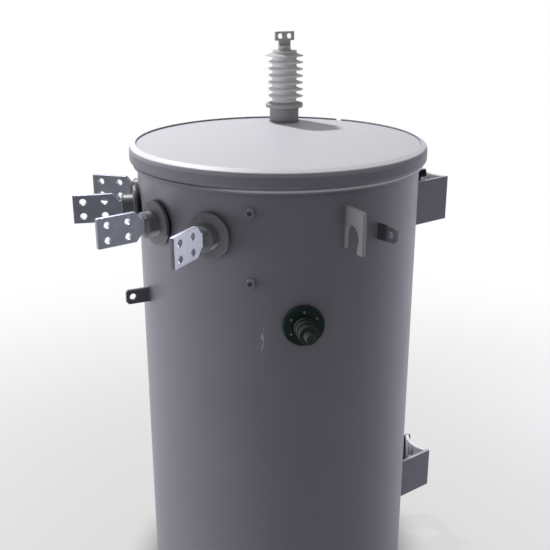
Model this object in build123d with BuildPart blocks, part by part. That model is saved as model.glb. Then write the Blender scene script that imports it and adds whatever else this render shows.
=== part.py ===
from build123d import *
import os
from math import atan2, cos, degrees, radians, sin, sqrt, tan

# Pole mounted transformer, in millimetres, +Z up.
# The origin is where the tank's axis meets the floor. +Y points to the pole and -Y to the
# low voltage terminals. A bearing is an angle round the tank in degrees: 0 faces -Y,
# 90 faces +X and 180 faces the pole.

# Shared allowances
seat_gap = 0.3
cut_overrun = 20.0

# Tank
tank_radius = 300.0
tank_wall_thickness = 4.0
bottom_thickness = 6.0
rim_height = 1050.0

# Clamp band: a sloped lip over the lid's edge, a shoulder, an upright face and a foot under the flange
band_sheet = 3.0
band_lip_overhang = 1.5
band_lip_rise = 3.2
band_shoulder_overhang = 12.7
band_shoulder_drop = 3.0
band_overhang = 15.3
band_face_drop = 11.0
band_foot_clearance = 4.5
band_foot_round = 6.0
band_split_bearing = 213.2
band_split_gap = 15.0

# Rim flange and the bead under it
flange_overhang = 9.0
flange_depth = 16.0
flange_round = 4.0
neck_overhang = 2.0
bead_overhang = 9.0
bead_drop = 9.4
bead_half_height = 5.0

# Lid and its gasket
lid_sheet = 4.0
lid_set_down = 0.5
lid_lip_gap = 3.0
lid_gasket_thickness = 6.0

# Clamp ears and their bolt
ear_thickness = 5.0
ear_reach = 32.0
ear_drop = 7.0
ear_height = 26.0
ear_corner = 7.0
clamp_bolt_radius = 6.0
clamp_bolt_hex = 19.0
clamp_bolt_head = 8.0
clamp_bolt_tail = 5.0

# High voltage bushing
hv_bearing = 241.5
hv_inset = 48.0
hv_gasket_radius = 36.0
hv_gasket_thickness = 4.5
hv_base_radius = 34.5
hv_base_height = 30.0
hv_core_radius = 29.0
hv_shed_radius = 44.6
hv_shed_count = 7
hv_shed_pitch = 15.6
hv_shed_edge = 1.5
hv_shed_rise = 6.0
hv_collar_thickness = 13.0
hv_collar_round = 4.0
hv_first_shed = 12.0
hv_neck_height = 13.0
hv_stud_radius = 15.0
hv_stud_height = 11.0
hv_terminal_thickness = 6.0
hv_terminal_width = 49.0
hv_terminal_bar = 20.5
hv_terminal_neck_width = 30.0
hv_terminal_neck = 11.0
hv_terminal_hole_radius = 6.0
hv_terminal_hole_spacing = 23.0

# Low voltage bushings
lv_spacing = 26.4
lv_count = 4
lv_drop = 129.0
lv_gasket_radius = 41.0
lv_gasket_hole_radius = 24.0
lv_gasket_thickness = 5.0
lv_flange_radius = 45.0
lv_flange_thickness = 7.0
lv_flange_edge = 2.0
lv_stub_radius = 26.0
lv_stub_length = 21.0
lv_base_disc = 4.0
spade_length = 100.0
spade_width = 60.0
spade_thickness = 10.0
spade_root_width = 28.0
spade_root_length = 4.0
spade_chamfer_length = 14.0
spade_hole_radius = 7.0
spade_hole_pitch = 44.4
spade_hole_gauge = 30.4
spade_end_distance = 20.6

# Earthing tabs
tab_length = 50.0
tab_width = 31.0
tab_thickness = 8.0
tab_corner = 5.0
tab_hole_radius = 7.0
tab_hole_end_distance = 14.0
front_tab_bearing = 0.0
front_tab_drop = 303.0
side_tab_bearing = 105.0
side_tab_drop = 134.0

# Lifting lugs
lug_bearings = {"right": 90.0, "left": 270.0}
lug_drop = 71.0
lug_height = 83.0
lug_reach = 68.0
lug_thickness = 8.0
lug_root_leg = 4.0
lug_seat_radius = 25.0
lug_seat_drop = 57.0
lug_toe = 7.0
lug_corner = 4.0

# Tap changer
tap_bearing = 74.2
tap_drop = 303.0
tap_flange_radius = 41.0
tap_flange_thickness = 9.0
tap_flange_edge = 2.0
tap_ring_count = 3
tap_ring_radius = 21.0
tap_ring_step = 1.0
tap_ring_width = 9.0
tap_ring_growth = 3.5
tap_groove_depth = 3.0
tap_groove_length = 3.5
tap_tip_radius = 11.5
tap_tip_end_radius = 9.0
tap_tip_length = 18.0
tap_tip_round = 2.0

# Round bosses on the tank's side
boss_bearing = 55.0
boss_drops = {"upper": 81.0, "lower": 219.0}
boss_radius = 9.6
boss_length = 8.0
boss_hole_radius = 4.5
boss_hole_depth = 6.0

# Hanger brackets: two splayed side plates and a saddle hollowed to the pole
hanger_bearing = 180.0
hanger_projection = 113.0
hanger_half_width = 48.0
hanger_splay = 12.0
hanger_sheet = 8.0
hanger_height = 101.0
upper_hanger_drop = 108.5
lower_hanger_lift = 116.0
saddle_depth = 18.0
hanger_slot_radius = 11.0
hanger_slot_length = 32.0


def outward(bearing):
    """Unit vector away from the tank's axis at a bearing."""
    return Vector(sin(radians(bearing)), -cos(radians(bearing)), 0)


def sideways(bearing):
    """Unit vector along the tank's wall, towards a larger bearing."""
    return Vector(cos(radians(bearing)), sin(radians(bearing)), 0)


def radial_plane(bearing, reach=0, height=0):
    """Upright plane through the tank's axis: x runs outward and y up."""
    origin = outward(bearing) * reach + Vector(0, 0, height)
    return Plane(origin=origin, x_dir=outward(bearing), z_dir=sideways(bearing) * -1)


def wall_plane(bearing, reach, height):
    """Upright plane that faces outward at a bearing: x runs along the wall and y up."""
    origin = outward(bearing) * reach + Vector(0, 0, height)
    return Plane(origin=origin, x_dir=sideways(bearing), z_dir=outward(bearing))


def keep(piece, name):
    """Label a finished piece and write it to its own file."""
    piece.part.label = name
    export_step(piece.part, f"parts/{name}.step")


os.makedirs("parts", exist_ok=True)

# Levels and radii of the rim, worked down from the band's lip
lip_radius = tank_radius + band_lip_overhang
shoulder_radius = tank_radius + band_shoulder_overhang
band_radius = tank_radius + band_overhang
flange_radius = tank_radius + flange_overhang
wall_inner_radius = tank_radius - tank_wall_thickness
lip_slope = (band_lip_rise + band_shoulder_drop) / (shoulder_radius - lip_radius)
lip_depth = band_sheet * sqrt(1 + lip_slope**2)


def lip_top(radius):
    """Height of the band's sloped lip, top side."""
    return rim_height + band_lip_rise - lip_slope * (radius - lip_radius)


def lid_skin(radius):
    """Height of the lid's edge where it lies under the band's lip."""
    return lip_top(radius) - lip_depth - seat_gap


lid_top = rim_height - lid_set_down
lid_flat_radius = lip_radius - lid_lip_gap
gasket_top = lid_skin(flange_radius) - lid_sheet
wall_top = gasket_top - lid_gasket_thickness
flange_bottom = wall_top - flange_depth
band_foot_top = flange_bottom - seat_gap
bead_height = flange_bottom - bead_drop
wall_seat_radius = tank_radius + seat_gap

# Places of the fittings, from the rim and the tank's wall
hv_reach = tank_radius - hv_inset
lv_height = rim_height - lv_drop
front_tab_height = rim_height - front_tab_drop
side_tab_height = rim_height - side_tab_drop
lug_top = rim_height - lug_drop
tap_height = rim_height - tap_drop
hanger_reach = tank_radius + hanger_projection
hanger_bottoms = {
    "upper": rim_height - upper_hanger_drop - hanger_height,
    "lower": lower_hanger_lift,
}

# Tank bottom, wall and rim
with BuildPart() as tank_bottom:
    with BuildSketch():
        Circle(tank_radius)
    extrude(amount=bottom_thickness)
keep(tank_bottom, "tank_bottom")

with BuildPart() as tank_wall:
    with BuildSketch(Plane.XY.offset(bottom_thickness)):
        Circle(tank_radius)
        Circle(wall_inner_radius, mode=Mode.SUBTRACT)
    extrude(amount=wall_top - bottom_thickness)
keep(tank_wall, "tank_wall")

with BuildPart() as tank_rim:
    with BuildSketch(radial_plane(hanger_bearing)):
        with BuildLine():
            bead_start = (tank_radius + neck_overhang, bead_height + bead_half_height)
            bead_end = (tank_radius + neck_overhang, bead_height - bead_half_height)
            Polyline(
                bead_end,
                (wall_seat_radius, bead_height - bead_half_height),
                (wall_seat_radius, wall_top),
                (flange_radius, wall_top),
                (flange_radius, flange_bottom),
                (tank_radius + neck_overhang, flange_bottom),
                bead_start,
            )
            ThreePointArc(bead_start, (tank_radius + bead_overhang, bead_height), bead_end)
        make_face()
        lower_corner = vertices().group_by(Axis.X)[-1].sort_by(Axis.Y)[0]
        fillet(lower_corner, flange_round)
    revolve(axis=Axis.Z)
keep(tank_rim, "tank_rim")

# Lid gasket and lid
with BuildPart() as lid_gasket:
    with BuildSketch(Plane.XY.offset(wall_top)):
        Circle(flange_radius)
        Circle(wall_inner_radius, mode=Mode.SUBTRACT)
    extrude(amount=lid_gasket_thickness)
keep(lid_gasket, "lid_gasket")

with BuildPart() as lid:
    with BuildSketch(radial_plane(hanger_bearing)):
        with BuildLine():
            Polyline(
                (0, lid_top),
                (lid_flat_radius, lid_top),
                (lip_radius, lid_skin(lip_radius)),
                (flange_radius, lid_skin(flange_radius)),
                (flange_radius, gasket_top),
                (wall_inner_radius, gasket_top),
                (lid_flat_radius - lid_sheet, lid_top - lid_sheet),
                (0, lid_top - lid_sheet),
                close=True,
            )
        make_face()
    revolve(axis=Axis.Z)
keep(lid, "lid")

# Clamp band with its split, ears and bolt: the section is one line, thickened inward by the sheet
band_foot_radius = tank_radius + band_foot_clearance
band_bottom = band_foot_top - band_sheet
split_angle = 2 * degrees(atan2(band_split_gap / 2, band_radius))
with BuildPart() as clamp_band:
    with BuildSketch(radial_plane(band_split_bearing + split_angle / 2)):
        with BuildLine():
            FilletPolyline(
                (band_radius, rim_height - band_face_drop),
                (band_radius, band_bottom),
                (band_foot_radius, band_bottom),
                radius=band_foot_round,
            )
            Polyline(
                (lip_radius, lip_top(lip_radius)),
                (shoulder_radius, lip_top(shoulder_radius)),
                (band_radius, rim_height - band_face_drop),
            )
            offset(amount=band_sheet, kind=Kind.INTERSECTION, side=Side.RIGHT)
        make_face()
    revolve(axis=Axis.Z, revolution_arc=split_angle - 360)
keep(clamp_band, "clamp_band")

ear_root = band_radius + seat_gap
ear_top = rim_height - ear_drop
bolt_reach = ear_root + ear_reach / 2
bolt_height = ear_top - ear_height / 2
for side, name in ((1, "left"), (-1, "right")):
    with BuildPart() as clamp_ear:
        with BuildSketch(radial_plane(band_split_bearing).offset(side * band_split_gap / 2)):
            with BuildLine():
                Polyline(
                    (ear_root, ear_top),
                    (ear_root + ear_reach - ear_corner, ear_top),
                    (ear_root + ear_reach, ear_top - ear_corner),
                    (ear_root + ear_reach, ear_top - ear_height + ear_corner),
                    (ear_root + ear_reach - ear_corner, ear_top - ear_height),
                    (ear_root, ear_top - ear_height),
                    close=True,
                )
            make_face()
            with Locations((bolt_reach, bolt_height)):
                Circle(clamp_bolt_radius + seat_gap, mode=Mode.SUBTRACT)
        extrude(amount=side * ear_thickness)
    keep(clamp_ear, f"clamp_ear_{name}")

bolt_grip = band_split_gap / 2 + ear_thickness
with BuildPart() as clamp_bolt:
    with BuildSketch(radial_plane(band_split_bearing).offset(-bolt_grip)):
        with Locations((bolt_reach, bolt_height)):
            Circle(clamp_bolt_radius)
    extrude(amount=2 * bolt_grip + clamp_bolt_head + clamp_bolt_tail)
    for side in (1, -1):
        with BuildSketch(radial_plane(band_split_bearing).offset(side * bolt_grip)):
            with Locations((bolt_reach, bolt_height)):
                RegularPolygon(clamp_bolt_hex / 2, side_count=6, major_radius=False)
        extrude(amount=side * clamp_bolt_head)
keep(clamp_bolt, "clamp_bolt")

# High voltage bushing, stacked up from the lid
hv_origin = outward(hv_bearing) * hv_reach + Vector(0, 0, lid_top)
hv_axis = Axis(hv_origin, (0, 0, 1))
hv_base_bottom = hv_gasket_thickness
hv_insulator_bottom = hv_base_bottom + hv_base_height
hv_collar_top = hv_insulator_bottom + hv_collar_thickness
hv_shed_levels = [hv_collar_top + hv_first_shed + hv_shed_pitch * count for count in range(hv_shed_count)]
hv_insulator_top = hv_shed_levels[-1] + hv_neck_height
hv_stud_top = hv_insulator_top + hv_stud_height


def bushing_level(height):
    """Level plane on the high voltage bushing's axis, measured up from the lid."""
    return Plane(origin=hv_origin + Vector(0, 0, height))


with BuildPart() as hv_gasket:
    with BuildSketch(bushing_level(0)):
        Circle(hv_gasket_radius)
    extrude(amount=hv_gasket_thickness)
keep(hv_gasket, "hv_gasket")

with BuildPart() as hv_base:
    with BuildSketch(bushing_level(hv_base_bottom)):
        Circle(hv_base_radius)
    extrude(amount=hv_base_height)
keep(hv_base, "hv_base")

with BuildPart() as hv_insulator:
    with BuildSketch(radial_plane(hv_bearing, hv_reach, lid_top)):
        with BuildLine():
            outline = [(0, hv_insulator_bottom), (hv_shed_radius, hv_insulator_bottom)]
            outline += [(hv_shed_radius, hv_collar_top - hv_collar_round), (hv_core_radius, hv_collar_top)]
            for level in hv_shed_levels:
                outline += [(hv_core_radius, level)]
                outline += [(hv_shed_radius, level)]
                outline += [(hv_shed_radius, level + hv_shed_edge)]
                outline += [(hv_core_radius, level + hv_shed_rise)]
            outline += [(hv_core_radius, hv_insulator_top), (0, hv_insulator_top)]
            Polyline(*outline, close=True)
        make_face()
    revolve(axis=hv_axis)
keep(hv_insulator, "hv_insulator")

with BuildPart() as hv_stud:
    with BuildSketch(bushing_level(hv_insulator_top)):
        Circle(hv_stud_radius)
    extrude(amount=hv_stud_height)
keep(hv_stud, "hv_stud")

blade_plane = Plane(origin=hv_origin + Vector(0, 0, hv_stud_top), x_dir=(0, 1, 0), z_dir=(1, 0, 0))
with BuildPart() as hv_terminal:
    with BuildSketch(blade_plane):
        with Locations((0, hv_terminal_neck / 2)):
            Rectangle(hv_terminal_neck_width, hv_terminal_neck)
        with Locations((0, hv_terminal_neck + hv_terminal_bar / 2)):
            Rectangle(hv_terminal_width, hv_terminal_bar)
            with GridLocations(hv_terminal_hole_spacing, 0, 2, 1):
                Circle(hv_terminal_hole_radius, mode=Mode.SUBTRACT)
    extrude(amount=hv_terminal_thickness / 2, both=True)
keep(hv_terminal, "hv_terminal")

# Low voltage bushings, each stacked outward from the tank's wall
lv_flange_reach = tank_radius + lv_gasket_thickness
lv_stub_reach = lv_flange_reach + lv_flange_thickness
lv_disc_reach = lv_stub_reach + lv_stub_length
spade_reach = lv_disc_reach + lv_base_disc
lv_bearings = [lv_spacing * (number - (lv_count - 1) / 2) for number in range(lv_count)]
for number, bearing in enumerate(lv_bearings, start=1):
    with BuildPart() as lv_gasket:
        with BuildSketch(wall_plane(bearing, lv_flange_reach, lv_height)):
            Circle(lv_gasket_radius)
            Circle(lv_gasket_hole_radius, mode=Mode.SUBTRACT)
        extrude(amount=-lv_gasket_thickness - cut_overrun)
        with Locations((0, 0, lv_height)):
            Cylinder(tank_radius + seat_gap, 2 * lv_gasket_radius + cut_overrun, mode=Mode.SUBTRACT)
    keep(lv_gasket, f"lv_gasket_{number}")

    with BuildPart() as lv_bushing:
        with BuildSketch(wall_plane(bearing, lv_flange_reach, lv_height)):
            Circle(lv_flange_radius)
        extrude(amount=lv_flange_thickness)
        chamfer(edges().group_by(Axis(Vector(0, 0, 0), outward(bearing)))[-1], lv_flange_edge)
        with BuildSketch(wall_plane(bearing, lv_stub_reach, lv_height)):
            Circle(lv_stub_radius)
        extrude(amount=lv_stub_length)
    keep(lv_bushing, f"lv_bushing_{number}")

    with BuildPart() as lv_terminal:
        with BuildSketch(wall_plane(bearing, lv_disc_reach, lv_height)):
            Circle(lv_stub_radius)
        extrude(amount=lv_base_disc)
        with BuildSketch(radial_plane(bearing, spade_reach, lv_height)):
            with BuildLine():
                Polyline(
                    (0, -spade_root_width / 2),
                    (spade_root_length, -spade_root_width / 2),
                    (spade_root_length + spade_chamfer_length, -spade_width / 2),
                    (spade_length, -spade_width / 2),
                    (spade_length, spade_width / 2),
                    (spade_root_length + spade_chamfer_length, spade_width / 2),
                    (spade_root_length, spade_root_width / 2),
                    (0, spade_root_width / 2),
                    close=True,
                )
            make_face()
            with Locations((spade_length - spade_end_distance - spade_hole_pitch / 2, 0)):
                with GridLocations(spade_hole_pitch, spade_hole_gauge, 2, 2):
                    Circle(spade_hole_radius, mode=Mode.SUBTRACT)
        extrude(amount=spade_thickness / 2, both=True)
    keep(lv_terminal, f"lv_terminal_{number}")

# Earthing tabs
for name, bearing, height in (
    ("front", front_tab_bearing, front_tab_height),
    ("side", side_tab_bearing, side_tab_height),
):
    with BuildPart() as earth_tab:
        with BuildSketch(radial_plane(bearing, wall_seat_radius, height)):
            with Locations((tab_length / 2, 0)):
                Rectangle(tab_length, tab_width)
            chamfer(vertices().group_by(Axis.X)[-1], tab_corner)
            with Locations((tab_length - tab_hole_end_distance, 0)):
                Circle(tab_hole_radius, mode=Mode.SUBTRACT)
        extrude(amount=tab_thickness / 2, both=True)
    keep(earth_tab, f"{name}_earth_tab")

# Lifting lugs: a plate with a round seat that is open below, and a toe that hooks in
lug_seat_left = lug_root_leg
lug_seat_right = lug_root_leg + 2 * lug_seat_radius
for name, bearing in lug_bearings.items():
    with BuildPart() as lifting_lug:
        with BuildSketch(radial_plane(bearing, wall_seat_radius, lug_top)):
            with BuildLine():
                Polyline(
                    (lug_seat_left, -lug_seat_drop),
                    (lug_seat_left, -lug_height),
                    (0, -lug_height),
                    (0, 0),
                    (lug_reach, 0),
                    (lug_reach, -lug_height),
                    (lug_seat_right - lug_toe, -lug_height),
                    (lug_seat_right, -lug_seat_drop),
                )
                ThreePointArc(
                    (lug_seat_right, -lug_seat_drop),
                    (lug_seat_left + lug_seat_radius, lug_seat_radius - lug_seat_drop),
                    (lug_seat_left, -lug_seat_drop),
                )
            make_face()
            fillet(vertices().group_by(Axis.X)[-1], lug_corner)
        extrude(amount=lug_thickness / 2, both=True)
    keep(lifting_lug, f"{name}_lifting_lug")

# Tap changer: a flange coped to the tank, a nose of widening rings and a tapered tip
tap_face_reach = tank_radius + tap_flange_thickness
with BuildPart() as tap_flange:
    with BuildSketch(wall_plane(tap_bearing, tap_face_reach, tap_height)):
        Circle(tap_flange_radius)
    extrude(amount=-tap_flange_thickness - cut_overrun)
    chamfer(edges().group_by(Axis(Vector(0, 0, 0), outward(tap_bearing)))[-1], tap_flange_edge)
    with Locations((0, 0, tap_height)):
        Cylinder(tank_radius + seat_gap, 2 * tap_flange_radius + cut_overrun, mode=Mode.SUBTRACT)
keep(tap_flange, "tap_flange")

tap_axis = Axis(Vector(0, 0, tap_height), outward(tap_bearing))
tap_ring_widths = [tap_ring_width + tap_ring_growth * count for count in range(tap_ring_count)]
tap_nose_length = tap_ring_count * tap_groove_length + sum(tap_ring_widths)
with BuildPart() as tap_nose:
    with BuildSketch(radial_plane(tap_bearing, tap_face_reach, tap_height)):
        with BuildLine():
            outline = [(0, 0)]
            ring_end = 0
            for count, width in enumerate(tap_ring_widths):
                radius = tap_ring_radius - count * tap_ring_step
                ring_start = ring_end + tap_groove_length
                outline += [(ring_end, radius - tap_groove_depth)]
                outline += [(ring_start, radius - tap_groove_depth)]
                ring_end = ring_start + width
                outline += [(ring_start, radius)]
                outline += [(ring_end, radius)]
            outline += [(tap_nose_length, 0)]
            Polyline(*outline, close=True)
        make_face()
    revolve(axis=tap_axis)
keep(tap_nose, "tap_nose")

tap_tip_taper = degrees(atan2(tap_tip_radius - tap_tip_end_radius, tap_tip_length))
with BuildPart() as tap_tip:
    with BuildSketch(wall_plane(tap_bearing, tap_face_reach + tap_nose_length, tap_height)):
        Circle(tap_tip_radius)
    extrude(amount=tap_tip_length, taper=tap_tip_taper)
    fillet(edges().group_by(Axis(Vector(0, 0, 0), outward(tap_bearing)))[-1], tap_tip_round)
keep(tap_tip, "tap_tip")

# Round bosses
for name, drop in boss_drops.items():
    height = rim_height - drop
    with BuildPart() as side_boss:
        with BuildSketch(wall_plane(boss_bearing, tank_radius + boss_length, height)):
            Circle(boss_radius)
        extrude(amount=-boss_length - cut_overrun)
        with BuildSketch(wall_plane(boss_bearing, tank_radius + boss_length, height)):
            Circle(boss_hole_radius)
        extrude(amount=-boss_hole_depth, mode=Mode.SUBTRACT)
        with Locations((0, 0, height)):
            Cylinder(tank_radius + seat_gap, 2 * boss_radius + cut_overrun, mode=Mode.SUBTRACT)
    keep(side_boss, f"{name}_side_boss")

# Hanger brackets: plan shapes drawn on level planes and pulled up
splay_run = tan(radians(hanger_splay))
plate_run = hanger_sheet / cos(radians(hanger_splay))
plate_inner_half = hanger_half_width - plate_run
plate_length = hanger_reach - tank_radius + cut_overrun + saddle_depth
saddle_radius = (hanger_half_width**2 + saddle_depth**2) / (2 * saddle_depth)
saddle_centre = hanger_reach - saddle_depth + saddle_radius
web_length = 2 * saddle_depth + hanger_sheet
for level, bottom in hanger_bottoms.items():
    for side, name in ((1, "right"), (-1, "left")):
        with BuildPart() as hanger_plate:
            with BuildSketch(Plane.XY.offset(bottom)):
                with BuildLine():
                    Polyline(
                        (side * hanger_half_width, hanger_reach),
                        (side * (hanger_half_width + splay_run * plate_length), hanger_reach - plate_length),
                        (side * (plate_inner_half + splay_run * plate_length), hanger_reach - plate_length),
                        (side * plate_inner_half, hanger_reach),
                        close=True,
                    )
                make_face()
                Circle(tank_radius + seat_gap, mode=Mode.SUBTRACT)
            extrude(amount=hanger_height)
        keep(hanger_plate, f"{level}_hanger_{name}_plate")

    with BuildPart() as hanger_saddle:
        with BuildSketch(Plane.XY.offset(bottom)):
            with BuildLine():
                Polyline(
                    (plate_inner_half, hanger_reach),
                    (plate_inner_half + splay_run * web_length, hanger_reach - web_length),
                    (-plate_inner_half - splay_run * web_length, hanger_reach - web_length),
                    (-plate_inner_half, hanger_reach),
                    close=True,
                )
            make_face()
            with Locations((0, saddle_centre)):
                Circle(saddle_radius + hanger_sheet, mode=Mode.INTERSECT)
                Circle(saddle_radius, mode=Mode.SUBTRACT)
        extrude(amount=hanger_height)
        with BuildSketch(wall_plane(hanger_bearing, hanger_reach, bottom + hanger_height / 2)):
            SlotOverall(hanger_slot_length, 2 * hanger_slot_radius, rotation=90)
        extrude(amount=-saddle_depth - hanger_sheet - cut_overrun, mode=Mode.SUBTRACT)
    keep(hanger_saddle, f"{level}_hanger_saddle")
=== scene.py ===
"""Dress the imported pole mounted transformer: finishes, turned and plate pieces, fasteners, welds, studio."""

import math

import bmesh
import bpy
from bpy.props import FloatProperty, FloatVectorProperty, IntProperty, PointerProperty
from mathutils import Matrix, Vector


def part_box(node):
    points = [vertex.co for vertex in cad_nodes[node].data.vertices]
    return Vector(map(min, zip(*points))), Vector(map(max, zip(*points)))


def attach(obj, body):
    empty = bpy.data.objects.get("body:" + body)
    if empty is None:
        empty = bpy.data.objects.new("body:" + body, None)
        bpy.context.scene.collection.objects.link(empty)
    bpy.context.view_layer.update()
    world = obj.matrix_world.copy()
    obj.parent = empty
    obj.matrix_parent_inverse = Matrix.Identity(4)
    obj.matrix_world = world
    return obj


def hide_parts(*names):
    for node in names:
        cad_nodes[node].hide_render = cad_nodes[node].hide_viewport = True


bl_info = {
    "name": "Pole Mounted Transformer",
    "version": (1, 0, 0),
    "blender": (4, 5, 0),
    "location": "View3D > Sidebar > Transformer",
    "description": "Finishes, fittings, fasteners, welds and studio of a pole mounted transformer",
    "category": "Object",
}

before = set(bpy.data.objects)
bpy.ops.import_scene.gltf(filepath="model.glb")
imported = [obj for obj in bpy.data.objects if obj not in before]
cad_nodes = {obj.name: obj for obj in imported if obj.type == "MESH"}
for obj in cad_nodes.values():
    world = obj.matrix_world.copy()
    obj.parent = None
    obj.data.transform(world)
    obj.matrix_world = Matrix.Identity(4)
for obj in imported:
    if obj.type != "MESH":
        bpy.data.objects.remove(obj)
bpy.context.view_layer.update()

UP = Vector((0.0, 0.0, 1.0))
LV_NUMBERS = (1, 2, 3, 4)
TAB_DEGREES = {"front": 0.0, "side": 105.0}
LUG_DEGREES = {"right": 90.0, "left": 270.0}


def length(name, default, description):
    """A length property in metres."""
    return FloatProperty(name=name, description=description, default=default, unit="LENGTH", precision=4)


def bearing(name, default, description):
    """An angle property, stated in degrees and kept in radians."""
    return FloatProperty(name=name, description=description, default=math.radians(default), subtype="ANGLE")


def watts(name, default, description):
    """A lamp's power in watts."""
    return FloatProperty(name=name, description=description, default=default, unit="POWER")


def light_level(name, default, description):
    """A level of light, where 1 is white."""
    return FloatProperty(name=name, description=description, default=default)


def offset(name, default):
    """A lamp's place: to the right of the view, away from the camera and up, in metres."""
    return FloatVectorProperty(
        name=name,
        description="Right of the view, away from the camera and up",
        default=default,
        subtype="XYZ",
    )


def colour(name, default, description):
    """A colour property in linear light."""
    return FloatVectorProperty(
        name=name, description=description, default=default, subtype="COLOR", size=3, min=0.0, max=1.0
    )


class TransformerColours(bpy.types.PropertyGroup):
    """Colours of the finishes, in linear light."""

    tank: colour("Tank enamel", (0.181, 0.177, 0.216), "Grey enamel on the tank and what is welded to it")
    # The lid's pale enamel is partly painted top light: it is paler than the tank partly to stand in for light
    # from above.
    lid: colour("Lid enamel", (0.52, 0.515, 0.555), "Pale enamel on the lid")
    # Painted top light: a paler colour on the band's lip and the lower saddle where they face up.
    dust_and_top_light: colour("Painted top light on the lip", (0.74, 0.735, 0.77), "Enamel of the band's lip where it faces up")
    # Painted light: the lugs get a paler enamel than the tank.
    lug: colour("Lug enamel", (0.33, 0.326, 0.35), "Enamel of the lifting lugs, rubbed by slings")
    # Painted top light: a paler colour on the fittings where they face up.
    painted_top_light: colour("Painted top light on fittings", (0.44, 0.437, 0.46), "Enamel of the fittings where it faces up")
    scuff: colour("Scuffed enamel", (0.46, 0.455, 0.475), "Where the tank enamel is rubbed")
    resin: colour("Bushing resin", (0.212, 0.217, 0.238), "Cast resin of the low voltage bushings")
    porcelain: colour("Porcelain glaze", (0.88, 0.882, 0.90), "Glaze of the high voltage insulator")
    hv_base: colour("Base glaze", (0.33, 0.327, 0.335), "Darker glaze of the insulator's base")
    terminal: colour("Terminal plating", (0.42, 0.434, 0.515), "Tin plating of the low voltage blades")
    hv_blade: colour("Top blade plating", (0.45, 0.453, 0.468), "Dull plating of the T shaped blade")
    hv_stud: colour("Stud plating", (0.50, 0.50, 0.515), "Pale plating of the stud under the T shaped blade")
    # Painted light: both saddles are paler than the tank, the lower one paler still.
    upper_saddle: colour("Upper saddle enamel", (0.38, 0.378, 0.39), "Enamel of the upper hanger's saddle")
    lower_saddle: colour("Lower saddle enamel", (0.62, 0.617, 0.63), "Enamel of the lower hanger's saddle")
    # Painted highlight: a pale colour on the bead under the band.
    rim: colour("Rim enamel", (0.85, 0.84, 0.92), "Painted highlight on the bead under the band")
    tap: colour("Tap flange enamel", (0.014, 0.032, 0.029), "Dark green enamel of the tap changer's flange")
    tap_nose: colour("Tap nose enamel", (0.027, 0.034, 0.032), "Grey green enamel of the tap changer's nose")
    # The tap changer's bolts get an enamel much lighter than its flange and nose.
    tap_bolt: colour("Tap bolt enamel", (0.17, 0.19, 0.185), "Lighter enamel of the tap changer's bolts")
    hv_gasket: colour("Base gasket", (0.20, 0.199, 0.205), "Grey gasket under the high voltage bushing")
    rubber: colour("Gasket rubber", (0.012, 0.012, 0.013), "Black moulded gaskets")
    zinc: colour("Zinc plating", (0.30, 0.315, 0.31), "Bolts and screws")


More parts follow.
